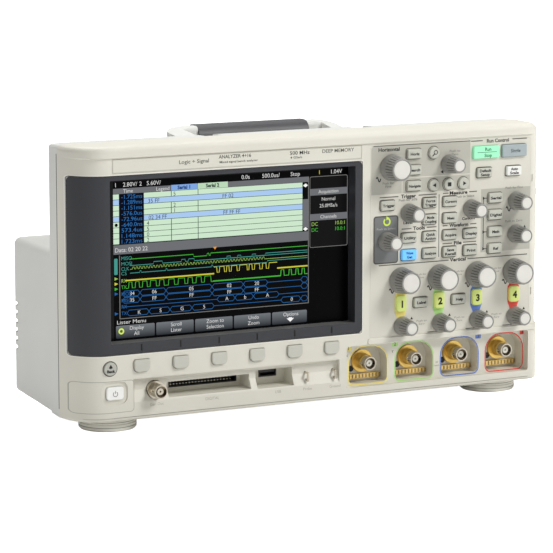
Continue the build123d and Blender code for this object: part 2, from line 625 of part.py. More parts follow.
def power_inlet():
    """Three-pin mains inlet."""
    body = block(INLET_X - 13.8, INLET_X + 13.8, REAR_Y - 24, REAR_Y - 0.4, INLET_Z - 9.8, INLET_Z + 9.8)
    flange = block(INLET_X - 18, INLET_X + 18, REAR_Y - WALL - 2, REAR_Y - WALL, INLET_Z - 13, INLET_Z + 13)
    body += flange
    body -= block(INLET_X - 11.8, INLET_X + 11.8, REAR_Y - 17, REAR_Y + 2, INLET_Z - 7.8, INLET_Z + 7.8)
    for dx, dz in ((-7, -2), (0, 2), (7, -2)):
        body += block(INLET_X + dx - 1, INLET_X + dx + 1, REAR_Y - 18, REAR_Y - 3, INLET_Z + dz - 2, INLET_Z + dz + 2)
    return body


# ---------------------------------------------------------------- handle
GRIP_HALF = 45.5
GRIP_FRONT_Y = 43.5
GRIP_BACK_Y = 62.0
GRIP_BASE_Z = 187.6
CORE = 8.0
ARM_Y = (GRIP_FRONT_Y + GRIP_BACK_Y) / 2
ARM_PATH = [(ARM_X, PIVOT_Y), (ARM_X, 8.0), (ARM_X + 2.0, ARM_Y), (40.0, ARM_Y)]
ARM_BENDS = [30.0, 6.5]
ARM_LOW_TOP_Z = 194.6
ARM_SLOPE_Y = 22.0
HUB_END_R = 5.0


def arm_crown():
    """Space over the arm, whose top slopes outwards and forwards from the grip's end to the pivot."""
    slope = Plane(origin=(GRIP_HALF + 2, GRIP_BACK_Y - 8, HANDLE_TOP_Z), z_dir=(0.13, -0.14, 1.0))
    above = extrude(slope * Rectangle(200, 200), 60) & block(0, 150, ARM_SLOPE_Y, 150, 100, 300)
    return above + block(0, 150, -50, ARM_SLOPE_Y, ARM_LOW_TOP_Z, 300)


def handle_frame():
    """Bail whose arms leave the wells, run back and turn in to a thin core for the grip."""
    mid_z = (GRIP_BASE_Z + HANDLE_TOP_Z) / 2
    height = HANDLE_TOP_Z - GRIP_BASE_Z
    path = Pos(0, 0, mid_z) * FilletPolyline(*ARM_PATH, radius=ARM_BENDS)
    section = Plane(origin=(ARM_X, PIVOT_Y, mid_z), z_dir=(0, 1, 0)) * RectangleRounded(ARM_W, height, 4.0)
    arm = sweep(section, path=path) - block(30, GRIP_HALF, 0, 80, 150, 250) - arm_crown()
    arm += rod(ARM_X, PIVOT_Y, PIVOT_Z, HUB_END_R, ARM_W, Axis.X)
    arm += rod(ARM_X, PIVOT_Y, PIVOT_Z, SHAFT_R, ARM_W + 4.4, Axis.X)
    core = block(-GRIP_HALF - 6, GRIP_HALF + 6, *grip_core())
    return arm + mirror(arm, Plane.YZ) + core


def grip_core():
    """Depth and height limits of the core bar, centred in the grip."""
    mid_y = (GRIP_FRONT_Y + GRIP_BACK_Y) / 2 + 1.5
    mid_z = (GRIP_BASE_Z + HANDLE_TOP_Z) / 2 - 0.5
    return mid_y - CORE / 2, mid_y + CORE / 2, mid_z - CORE / 2, mid_z + CORE / 2


def handle_grip():
    """Soft sleeve over the core, with a broad round front."""
    sleeve = block(-GRIP_HALF, GRIP_HALF, GRIP_FRONT_Y, GRIP_BACK_Y, GRIP_BASE_Z, HANDLE_TOP_Z)
    long_edges = sleeve.edges().filter_by(Axis.X)
    crown = long_edges.filter_by(lambda e: e.center().Y < GRIP_FRONT_Y + 1 and e.center().Z > GRIP_BASE_Z + 1)
    sleeve = fillet(crown, 9.5)
    rest = sleeve.edges().filter_by(Axis.X).filter_by(lambda e: e.center().Y > GRIP_BACK_Y - 1)
    sleeve = fillet(rest, 3.5)
    return sleeve - block(-GRIP_HALF - 5, GRIP_HALF + 5, *grip_core())


# ---------------------------------------------------------------- insides
def chassis():
    """Pressed steel deck that carries the display and the boards."""
    deck = block(-170, 183.5, CHASSIS_Y, CHASSIS_Y + 1.2, 52, 194)
    deck -= block(44, 176, -40, 0, 70, 180)
    for x, z in LOWER_BOSSES:
        deck += block(x - 5, x + 5, CHASSIS_Y, CHASSIS_Y + 1.2, 14, 53)
    deck += block(43, 177, CHASSIS_Y, CHASSIS_Y + 1.2, 120, 130)
    for x, z in ((-130, 60), (-20, 60), (30, 60), (130, 60)):
        deck += rod(x, (CHASSIS_Y + BOARD_REAR_Y) / 2 + 0.6, z, 2.5, BOARD_REAR_Y - CHASSIS_Y - 1.2)
    for x, z in UPPER_BOSSES + LOWER_BOSSES:
        deck -= rod(x, CHASSIS_Y, z, 1.6, 10)
    return deck


def main_board():
    """Acquisition board with its shield can, processor heat sink and edge sockets."""
    board = block(-165, 178, BOARD_REAR_Y, BOARD_REAR_Y + BOARD_T, 18, 112)
    back_y = BOARD_REAR_Y + BOARD_T
    board += block(20, 170, back_y, back_y + 9, 22, 54)
    board += block(-60, -20, back_y, back_y + 4, 60, 100)
    for k in range(8):
        board += block(-59 + 5 * k, -57 + 5 * k, back_y + 3, back_y + 14, 61, 99)
    for k in range(4):
        board += block(20 + 30 * k, 36 + 30 * k, back_y, back_y + 2.4, 72, 88)
    return board


def power_supply():
    """Open-frame supply: board, transformer, capacitors and the bracket to the rear wall."""
    board = block(-174, -116, 10, 11.6, 62, 112)
    board += block(-170, -150, 11, 34, 68, 96)
    board += block(-146, -128, 11, 28, 66, 84)
    for x, z in ((-140, 98), (-126, 98)):
        board += rod(x, 22, z, 6.0, 23)
    for x in (-173, -119):
        board += block(x - 1, x + 1, 11, REAR_Y - WALL, 100, 108)
    return board


FAN_FRONT_Y = 43.0
FAN_BACK_Y = REAR_Y - WALL
HUB_R = 13.0


def fan_frame():
    """Square fan housing with the motor mount at the back."""
    half = FAN_R + 2
    frame = block(FAN_X - half, FAN_X + half, FAN_FRONT_Y, FAN_BACK_Y, FAN_Z - half, FAN_Z + half)
    frame = fillet(frame.edges().filter_by(Axis.Y), 4.0)
    frame -= rod(FAN_X, 60, FAN_Z, FAN_R, 60)
    frame += rod(FAN_X, FAN_BACK_Y - 1.5, FAN_Z, HUB_R, 3.0)
    frame += block(FAN_X - half + 1, FAN_X + half - 1, FAN_BACK_Y - 3, FAN_BACK_Y, FAN_Z - 2, FAN_Z + 2)
    frame += block(FAN_X - 2, FAN_X + 2, FAN_BACK_Y - 3, FAN_BACK_Y, FAN_Z - half + 1, FAN_Z + half - 1)
    frame -= rod(FAN_X, FAN_BACK_Y - 1.5, FAN_Z, 1.5 + SHAFT_CLEARANCE, 10)
    return frame


def fan_rotor():
    """Hub with seven pitched blades and its shaft."""
    front_y = FAN_FRONT_Y + 2
    back_y = FAN_BACK_Y - 4
    middle = (front_y + back_y) / 2
    rotor = rod(FAN_X, middle, FAN_Z, HUB_R, back_y - front_y)
    rotor += rod(FAN_X, back_y + 1.6, FAN_Z, 1.5, 5.0)
    for k in range(7):
        blade = Pos(0, 0, HUB_R + 6.4) * Rot(0, 0, 38) * Box(1.6, back_y - front_y, 15.0)
        rotor += Pos(FAN_X, middle, FAN_Z) * Rot(0, 360 * k / 7, 0) * blade
    limit = rod(FAN_X, middle + 2, FAN_Z, FAN_R - 0.8, back_y - front_y + 4.2)
    return rotor & limit


# ---------------------------------------------------------------- feet
FOOT_R = 20.5
FRONT_FEET = [(-153.0, -28.0), (158.8, -28.0)]
REAR_FEET = [(-150.0, 46.0), (150.0, 46.0)]
REAR_FOOT_R = 9.0
TAB_W = 15.0
TAB_T = 3.0
TAB_FRONT = 16.5
TAB_PIVOT_Y = -18.0
TAB_PIVOT_Z = 1.8


def below_case():
    """Space under the case, which trims the tops of the feet."""
    outline = Polyline(
        (-80, -1), (80, -1), (80, underside(80)), (SEAM_Y, BASE_Z), (-80, BASE_Z), close=True)
    return Pos(-OUT_X, 0, 0) * extrude(Plane.YZ * make_face(outline), 2 * OUT_X)


def front_foot(x, y):
    """Two-layer round foot with a bay under it for its tilt tab."""
    foot = Pos(x, y, 6.5) * Cylinder(FOOT_R - 0.9, 8)
    foot += Pos(x, y, 8.1) * Cylinder(FOOT_R, 5.4)
    sole = Pos(x, y, 2.4) * Cylinder(FOOT_R, 4.8)
    foot += chamfer(sole.faces().sort_by(Axis.Z)[0].edges(), 1.2)
    foot -= block(x - TAB_W / 2 - 0.4, x + TAB_W / 2 + 0.4, y - TAB_FRONT - 1.2, TAB_PIVOT_Y + 2.6, -1, 4.4)
    foot -= rod(x, TAB_PIVOT_Y, TAB_PIVOT_Z, 1.0 + SHAFT_CLEARANCE, TAB_W + 6, Axis.X)
    return foot & below_case()


def rear_foot(x, y):
    """Plain round rear foot."""
    foot = Pos(x, y, 8) * Cylinder(REAR_FOOT_R, 16)
    return chamfer(foot.faces().sort_by(Axis.Z)[0].edges(), 1.0) & below_case()


def feet():
    """Two large front feet and two small rear feet."""
    return [front_foot(x, y) for x, y in FRONT_FEET] + [rear_foot(x, y) for x, y in REAR_FEET]


def tilt_tabs():
    """Fold-out legs, one under each front foot, on a common hinge line."""
    tabs = []
    low_z = TAB_PIVOT_Z - TAB_T / 2
    for x, y in FRONT_FEET:
        tab = block(x - TAB_W / 2, x + TAB_W / 2, y - TAB_FRONT, TAB_PIVOT_Y, low_z, low_z + TAB_T)
        tab += rod(x, TAB_PIVOT_Y, TAB_PIVOT_Z, TAB_T / 2, TAB_W, Axis.X)
        tabs.append(tab + rod(x, TAB_PIVOT_Y, TAB_PIVOT_Z, 1.0, TAB_W + 4, Axis.X))
    return tabs


def cover_screws():
    """Four pan-head screws in the rear face."""
    screws = []
    for x, z in COVER_SCREWS:
        head = rod(x, REAR_Y - 0.9, z, 3.2, 1.8)
        screws.append(head - block(x - 0.4, x + 0.4, REAR_Y - 0.8, REAR_Y + 1, z - 2, z + 2))
    return screws


save("front_bezel", front_bezel())
save("screen_surround", screen_surround())
save("lcd_module", lcd_module())
save("nameplate", nameplate())
save("control_panel", control_panel())
save("entry_panel", entry_panel())
save("keypad_board", *keypad_board())
save("bnc_sockets", *bnc_sockets())
save("input_flanges", *input_flanges())
save("logic_port", logic_port())
save("usb_port", usb_port())
save("probe_terminals", *probe_terminals())
save("rear_cover", rear_cover())
save("module_cover", module_cover())
save("rear_connectors", rear_connectors())
save("power_inlet", power_inlet())
save("cover_screws", *cover_screws())
save("chassis", chassis())
save("main_board", main_board())
save("power_supply", power_supply())
save("fan_frame", fan_frame())
save("fan_rotor", fan_rotor())
save("feet", *feet())
save("tilt_tabs", *tilt_tabs())
save("handle_frame", handle_frame())
save("handle_grip", handle_grip())
for name, (x, z, sizes) in KNOBS.items():
    save(name, knob(x, z, sizes))
for number, x in enumerate(SOFTKEY_X, start=1):
    save(f"softkey_{number}", cap(softkey_shape(x), proud=1.8))
for number, x in enumerate(CHANNEL_X, start=1):
    save(f"channel_key_{number}", cap(channel_key_shape(x)))
save("back_key", cap(disc(*BACK_KEY), proud=1.2))
save("power_button", cap(power_shape(), proud=0.8))
save("run_stop_key", cap(rect(*RUN_KEY, 1.0)))
save("single_key", cap(rect(*SINGLE_KEY, 1.0)))
save("menu_keys", *key_group(MENU_KEYS))
save("horizontal_keys", *key_group(HORIZONTAL_KEYS, HORIZONTAL_ROUND))
save("setup_keys", *key_group(SETUP_KEYS))
save("source_keys", *key_group(SOURCE_KEYS))
save("label_keys", *key_group(LABEL_KEYS))
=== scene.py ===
"""Looks for the bench signal analyzer: materials, knobs, prints, picture and sockets round the CAD frame."""

import math

import bmesh
import bpy
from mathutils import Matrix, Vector


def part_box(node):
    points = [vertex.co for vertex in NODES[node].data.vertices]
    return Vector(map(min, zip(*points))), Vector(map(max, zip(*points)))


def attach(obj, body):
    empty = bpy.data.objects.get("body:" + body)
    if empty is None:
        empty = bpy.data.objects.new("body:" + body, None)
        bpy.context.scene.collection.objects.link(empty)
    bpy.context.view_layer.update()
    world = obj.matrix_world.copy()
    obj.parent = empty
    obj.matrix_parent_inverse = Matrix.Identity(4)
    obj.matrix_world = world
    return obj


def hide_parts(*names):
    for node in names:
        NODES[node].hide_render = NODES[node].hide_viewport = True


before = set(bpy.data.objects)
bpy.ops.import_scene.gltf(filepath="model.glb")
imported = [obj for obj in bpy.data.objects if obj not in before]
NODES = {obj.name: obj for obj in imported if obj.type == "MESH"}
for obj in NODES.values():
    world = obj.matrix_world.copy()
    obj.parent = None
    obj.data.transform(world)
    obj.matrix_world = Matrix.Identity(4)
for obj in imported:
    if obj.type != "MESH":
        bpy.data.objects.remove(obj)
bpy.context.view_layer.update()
MM = 0.001

# The screen's centre is the datum of the front panel; the control panel's lower left corner fixes it.
PANEL_CORNER = (105.0, -68.5)
PANEL_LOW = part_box("control_panel")[0]
DATUM_X = PANEL_LOW.x - PANEL_CORNER[0] * MM
DATUM_Z = PANEL_LOW.z - PANEL_CORNER[1] * MM
FRONT_Y = PANEL_LOW.y
GLASS_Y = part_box("lcd_module")[0].y


# ---- studio
CAMERA_AZIMUTH = -27.19
CAMERA_ELEVATION = 9.06
CAMERA_DISTANCE = 2.108
CAMERA_LENS = 187.6
CAMERA_AIM = Vector((-0.0045, 0.0005, 0.0922))
ROOM_LIGHT = 0.33


def place(name, data, location=(0.0, 0.0, 0.0), facing=None):
    """New object in the scene, looking along a direction if one is given."""
    thing = bpy.data.objects.new(name, data)
    thing.location = location
    if facing:
        thing.rotation_mode = "QUATERNION"
        thing.rotation_quaternion = facing.to_track_quat("-Z", "Y")
    bpy.context.scene.collection.objects.link(thing)
    return thing


def place_camera():
    """Long lens from the left of the front, a little above."""
    azimuth, elevation = math.radians(CAMERA_AZIMUTH), math.radians(CAMERA_ELEVATION)
    back = Vector((math.sin(azimuth) * math.cos(elevation), -math.cos(azimuth) * math.cos(elevation),
                   math.sin(elevation)))
    data = bpy.data.cameras.new("camera")
    data.lens = CAMERA_LENS
    data.sensor_width = 36.0
    data.clip_start, data.clip_end = 0.1, 30.0
    camera = place("camera", data, CAMERA_AIM + back * CAMERA_DISTANCE, -back)
    bpy.context.scene.camera = camera


def area_light(name, location, size, power):
    """Square white softbox aimed at the middle of the case."""
    data = bpy.data.lights.new(name, "AREA")
    data.shape = "SQUARE"
    data.size = size
    data.energy = power
    place(name, data, location, Vector((0.0, 0.0, 0.1)) - Vector(location))


def light_studio():
    """White room, with softboxes above the front right and the rear and a weak one at the left."""
    world = bpy.data.worlds.new("studio")
    bpy.context.scene.world = world
    world.use_nodes = True
    tree = world.node_tree
    background = tree.nodes["Background"]
    background.inputs["Color"].default_value = (1.0, 1.0, 1.0, 1.0)
    seen = tree.nodes.new("ShaderNodeLightPath").outputs["Is Camera Ray"]
    tree.links.new(spread(tree, seen, ROOM_LIGHT, 1.0), background.inputs["Strength"])
    area_light("key_light", (1.1, -1.3, 1.6), 0.7, 31.0)
    area_light("fill_light", (-1.6, -1.3, 0.9), 1.2, 1.0)
    area_light("top_light", (0.0, 0.9, 1.9), 1.2, 27.0)
    bpy.context.scene.view_settings.view_transform = "Standard"


def lay_floor():
    """Plain pale floor under the feet."""
    mesh = bpy.data.meshes.new("floor")
    reach = 6.0
    corners = [(-reach, -reach, 0), (reach, -reach, 0), (reach, reach, 0), (-reach, reach, 0)]
    mesh.from_pydata(corners, [], [(0, 1, 2, 3)])
    floor = place("floor", mesh)
    paper = plastic("floor_paper", (252, 252, 252), roughness=0.9, grain=0.0, mottle=0.005)
    tree = paper.node_tree
    glow = tree.nodes["Principled BSDF"]
    glow.inputs["Emission Color"].default_value = (1.0, 1.0, 1.0, 1.0)
    seen = tree.nodes.new("ShaderNodeLightPath").outputs["Is Camera Ray"]
    tree.links.new(seen, glow.inputs["Emission Strength"])
    mesh.materials.append(paper)


# ---- materials
def linear(color):
    """Linear RGBA of a screen colour given as 0 to 255."""
    return tuple((c / 255.0) ** 2.2 for c in color) + (1.0,)


def shader(name):
    """New material, with its node tree, principled shader and object coordinates."""
    material = bpy.data.materials.new(name)
    material.use_nodes = True
    tree = material.node_tree
    principled = tree.nodes["Principled BSDF"]
    coords = tree.nodes.new("ShaderNodeTexCoord").outputs["Object"]
    return material, tree, principled, coords


def noise(tree, coords, scale):
    """Fractal noise over the object's own coordinates."""
    node = tree.nodes.new("ShaderNodeTexNoise")
    node.inputs["Scale"].default_value = scale
    node.inputs["Detail"].default_value = 3.0
    tree.links.new(coords, node.inputs["Vector"])
    return node.outputs["Fac"]


def spread(tree, factor, low, high):
    """A factor of 0 to 1 laid over a stretch of values."""
    node = tree.nodes.new("ShaderNodeMapRange")
    node.inputs["To Min"].default_value = low
    node.inputs["To Max"].default_value = high
    tree.links.new(factor, node.inputs["Value"])
    return node.outputs["Result"]


def ramp(tree, factor, low, high, start=0.3, end=0.7):
    """Blend between two colours over a stretch of a factor."""
    node = tree.nodes.new("ShaderNodeValToRGB")
    node.color_ramp.elements[0].position = start
    node.color_ramp.elements[1].position = end
    node.color_ramp.elements[0].color = low
    node.color_ramp.elements[1].color = high
    tree.links.new(factor, node.inputs["Fac"])
    return node.outputs["Color"]


def grain_bump(tree, principled, coords, scale, strength, distance):
    """Moulded or sprayed grain as a bump."""
    bump = tree.nodes.new("ShaderNodeBump")
    bump.inputs["Strength"].default_value = strength
    bump.inputs["Distance"].default_value = distance
    tree.links.new(noise(tree, coords, scale), bump.inputs["Height"])
    tree.links.new(bump.outputs["Normal"], principled.inputs["Normal"])


def plastic(name, color, roughness=0.5, grain=0.25, grain_scale=1500.0, mottle=0.02, specular=0.4):
    """Moulded plastic: even colour with faint mottling, fine grain and slightly uneven gloss."""
    material, tree, principled, coords = shader(name)
    base = linear(color)
    low = tuple(c * (1 - mottle) for c in base[:3]) + (1.0,)
    high = tuple(min(1.0, c * (1 + mottle)) for c in base[:3]) + (1.0,)
    tree.links.new(ramp(tree, noise(tree, coords, 18.0), low, high), principled.inputs["Base Color"])
    gloss = spread(tree, noise(tree, coords, 60.0), roughness - 0.05, min(1.0, roughness + 0.05))
    tree.links.new(gloss, principled.inputs["Roughness"])
    principled.inputs["Specular IOR Level"].default_value = specular
    if grain:
        grain_bump(tree, principled, coords, grain_scale, grain, 0.0001)
    return material


def ledge_plastic(name, color, painted_top_light_color):
    """Dark plastic with painted light: its base colour turns paler on faces that point up, as if lit from
    above.
    """
    material = plastic(name, color, roughness=0.42, grain=0.15)
    tree = material.node_tree
    split = tree.nodes.new("ShaderNodeSeparateXYZ")
    tree.links.new(tree.nodes.new("ShaderNodeNewGeometry").outputs["True Normal"], split.inputs["Vector"])
    # painted top light: the base colour blends to the paler colour on upward faces
    paint = ramp(tree, split.outputs["Z"], linear(color), linear(painted_top_light_color), 0.3, 0.9)
    tree.links.new(paint, tree.nodes["Principled BSDF"].inputs["Base Color"])
    return material


def metal(name, color, roughness):
    """Plated or brushed metal with fine streaks in its gloss."""
    material, tree, principled, coords = shader(name)
    principled.inputs["Metallic"].default_value = 1.0
    base = linear(color)
    low = tuple(c * 0.86 for c in base[:3]) + (1.0,)
    tree.links.new(ramp(tree, noise(tree, coords, 120.0), low, base), principled.inputs["Base Color"])
    streaks = 900.0
    gloss = spread(tree, noise(tree, coords, streaks), max(0.05, roughness - 0.08), roughness + 0.1)
    tree.links.new(gloss, principled.inputs["Roughness"])
    grain_bump(tree, principled, coords, streaks, 0.2, 0.00005)
    return material


def glowing(material, color, strength):
    """The same material with light of its own."""
    principled = material.node_tree.nodes["Principled BSDF"]
    principled.inputs["Emission Color"].default_value = linear(color)
    principled.inputs["Emission Strength"].default_value = strength
    return material


def lit_rubber(name, color, glow):
    """Translucent key lit from behind."""
    return glowing(plastic(name, color, grain=0.15, mottle=0.03), color, glow)


CASE = plastic("case_front", (222, 219, 206))
REAR = plastic("case_rear", (220, 220, 215))
PANEL = plastic("panel_print", (216, 213, 200), grain=0.12)
PATCH = plastic("panel_patch", (186, 184, 172), grain=0.12)
# the surround's upward faces get a painted top light in their base colour
SURROUND = ledge_plastic("surround_plastic_painted_top_light", (58, 59, 63), (112, 112, 110))
GLASS = plastic("screen_glass", (8, 8, 10), roughness=0.2, grain=0.0, specular=0.15)
NAMEPLATE = plastic("nameplate_print", (219, 217, 203), roughness=0.45, grain=0.5, grain_scale=900.0)
INLAY = plastic("inlay_print", (120, 122, 122), roughness=0.42, grain=0.12)
KNOB = plastic("knob_grey", (146, 145, 140), roughness=0.45, grain=0.2)
# painted shade in the bottoms of the knob flutes
FLUTE_SHADE = plastic("knob_flute_painted_shade", (98, 97, 92), roughness=0.55, grain=0.1)
CAP = plastic("knob_cap", (222, 220, 212), roughness=0.4, grain=0.08)
KEY = plastic("key_rubber", (196, 196, 184), grain=0.15)
SOFTKEY = plastic("softkey_rubber", (200, 199, 188), grain=0.15)
BACK_RUBBER = plastic("back_rubber", (188, 188, 178), grain=0.15)
POWER = plastic("power_rubber", (250, 250, 246), roughness=0.45, grain=0.1)
SINGLE = plastic("single_rubber", (164, 175, 178), grain=0.1)
RUN = lit_rubber("run_rubber", (150, 226, 182), 0.3)
CHANNEL = lit_rubber("channel_rubber", (196, 208, 118), 0.22)
FEET = plastic("foot_rubber", (238, 236, 224), roughness=0.55)
GRIP = plastic("grip_rubber", (76, 76, 78), roughness=0.48, grain=0.2, specular=0.5)
BLACK = plastic("black_plastic", (30, 30, 32), roughness=0.4)
NICKEL = metal("nickel", (205, 196, 180), roughness=0.22)
GOLD = metal("gold_plate", (232, 196, 112), roughness=0.3)
INSULATOR = plastic("insulator", (226, 222, 208), roughness=0.4, grain=0.0)
DARK_SHELL = plastic("dark_shell", (62, 62, 64), roughness=0.4, grain=0.1)
STEEL = metal("sheet_steel", (176, 178, 180), roughness=0.35)
BOARD = plastic("circuit_board", (32, 92, 58), roughness=0.4, grain=0.4, grain_scale=400.0)

FINISHES = [
    (CASE, "front_bezel"), (REAR, "rear_cover module_cover handle_frame"), (PANEL, "control_panel"),
    (INLAY, "entry_panel"), (NAMEPLATE, "nameplate"), (SURROUND, "screen_surround"), (GLASS, "lcd_module"),
    (GRIP, "handle_grip"), (FEET, "feet tilt_tabs"), (BOARD, "keypad_board main_board power_supply"),
    (NICKEL, "bnc_sockets probe_terminals"), (GOLD, "input_flanges"), (DARK_SHELL, "usb_port"),
    (BLACK, "logic_port power_inlet fan_frame fan_rotor"), (STEEL, "rear_connectors chassis cover_screws"),
    (RUN, "run_stop_key"), (SINGLE, "single_key"), (POWER, "power_button"), (BACK_RUBBER, "back_key"),
]
NODE_FINISH = {node: paint for paint, nodes in FINISHES for node in nodes.split()}


def finish_of(node):
    """Material of a CAD node, from its own name or its kind."""
    if node in NODE_FINISH:
        return NODE_FINISH[node]
    if node.startswith("knob_"):
        return KNOB
    if node.startswith("channel_key"):
        return CHANNEL
    return SOFTKEY if node.startswith("softkey") else KEY


def paint_nodes():
    """One procedural material on every CAD node."""
    for name, node in NODES.items():
        node.data.materials.clear()
        node.data.materials.append(finish_of(name))


def lit(name, color):
    """Patch of a lit screen or lamp: nearly black itself, with its own light."""
    dark = tuple(c * 0.06 for c in color)
    return glowing(plastic(name, dark, roughness=0.3, grain=0.0, specular=0.05), color, 1.0)


def lit_fade(name, low_color, high_color, z_low, z_high):
    """Lit patch that grows lighter upwards between two heights over the screen centre."""
    material, tree, principled, coords = shader(name)
    split = tree.nodes.new("ShaderNodeSeparateXYZ")
    tree.links.new(coords, split.inputs["Vector"])
    height = tree.nodes.new("ShaderNodeMapRange")
    height.inputs["From Min"].default_value = DATUM_Z + z_low * MM
    height.inputs["From Max"].default_value = DATUM_Z + z_high * MM
    tree.links.new(split.outputs["Z"], height.inputs["Value"])
    color = ramp(tree, height.outputs["Result"], linear(low_color), linear(high_color), 0.0, 1.0)
    principled.inputs["Base Color"].default_value = (0.004, 0.004, 0.004, 1.0)
    principled.inputs["Roughness"].default_value = 0.3
    principled.inputs["Specular IOR Level"].default_value = 0.05
    tree.links.new(color, principled.inputs["Emission Color"])
    principled.inputs["Emission Strength"].default_value = 1.0
    return material


def ink(name, color):
    """Printing ink."""
    return plastic(name, color, roughness=0.55, grain=0.0, mottle=0.03)


INK = ink("ink_dark", (40, 40, 38))
INK_SOFT = ink("ink_soft", (138, 137, 131))
# ink of printed rules, also used for the painted shadow line under the brow
INK_AND_SHADOW_LINE = ink("ink_line_and_brow_shadow", (100, 99, 93))
# painted shade round the key caps, the inlay and a ring at the left end, where their gaps fall in shade
EDGE_SHADE = ink("edge_painted_shade", (84, 83, 76))
RUN_INK = ink("ink_run", (38, 110, 70))
SINGLE_INK = ink("ink_single", (84, 92, 94))
CHANNEL_INK = ink("ink_channel", (44, 48, 22))
BLUE_INK = ink("ink_blue", (22, 66, 120))
PALE_INK = ink("ink_pale", (190, 190, 186))
PLATE_LINE = ink("plate_line", (196, 194, 182))
# painted shadows of the position knobs on the ledge
KNOB_SHADOW = ink("groove_dark", (66, 64, 58))
# dark colour of the surround's joint, also painted shade in the tick slots
JOINT_AND_SLOT_SHADE = ink("joint_dark_and_slot_shade", (40, 39, 36))
# painted shade of grooves, of the crease along the foot and of embossed letters
GROOVE_AND_EMBOSS_SHADE = ink("groove_and_emboss_painted_shade", (176, 173, 160))
# painted highlight along the bezel's edge round the surround
LIP_HIGHLIGHT = ink("lip_painted_highlight", (236, 234, 224))
LINK_COLORS = [(246, 228, 130), (178, 228, 138), (104, 134, 208), (232, 84, 74)]
LINKS = [ink(f"link_{k + 1}", color) for k, color in enumerate(LINK_COLORS)]
BLUE_KEY = lit_rubber("blue_key_rubber", (110, 190, 250), 0.35)
LIGHT_KEY = plastic("light_key_rubber", (238, 238, 232), grain=0.1)
RING_GREEN = lit("ring_lamp", (214, 240, 90))

PICTURE = {
    "black": (6, 6, 8), "green_row": (203, 230, 203), "blue_row": (168, 200, 240), "rule": (58, 74, 60),
    "navy": (8, 12, 26), "navy_text": (48, 110, 176), "grey": (108, 110, 114), "light": (214, 214, 212),
    "white": (246, 246, 246), "tab_blue": (128, 166, 224), "tab_green": (186, 216, 184),
    "row_text": (48, 62, 58), "teal": (70, 150, 140), "lime": (150, 190, 90), "yellow": (206, 200, 66),
    "green": (70, 178, 60), "blue": (40, 98, 160), "orange": (236, 152, 60), "sidebar": (24, 24, 25),
    "frame": (120, 120, 118), "tab_text": (30, 62, 120),
}
LIT = {name: lit("picture_" + name, color) for name, color in PICTURE.items()}
LIT["softkey"] = lit_fade("picture_softkey", (44, 48, 52), (112, 117, 122), -54.5, -45.5)
LIT["ring"] = RING_GREEN


# ---- drawing
def rounded(x0, x1, z0, z1, low=0.0, high=None, steps=6):
    """Rectangle outline, anticlockwise seen from the front, with radii for its lower and upper corners."""
    high = low if high is None else high
    corners = [(x0, z0, low, 180), (x1, z0, low, 270), (x1, z1, high, 0), (x0, z1, high, 90)]
    points = []
    for x, z, radius, start in corners:
        cx = x + radius if x == x0 else x - radius
        cz = z + radius if z == z0 else z - radius
        for k in range(steps + 1):
            angle = math.radians(start + 90.0 * k / steps)
            points.append((cx + radius * math.cos(angle), cz + radius * math.sin(angle)))
    return points


def circle(x, z, radius, steps=40, start=0.0, sweep=360.0):
    """Points round a circle or along an arc."""
    count = steps if sweep == 360.0 else steps + 1
    return [(x + radius * math.cos(math.radians(start + sweep * k / steps)),
             z + radius * math.sin(math.radians(start + sweep * k / steps))) for k in range(count)]


def piece_of(mesh, name, paints):
    """Scene object with a finished mesh and its materials."""
    data = bpy.data.meshes.new(name)
    mesh.to_mesh(data)
    mesh.free()
    for paint in paints:
        data.materials.append(paint)
    return place(name, data)


LETTER_CAP = 0.69


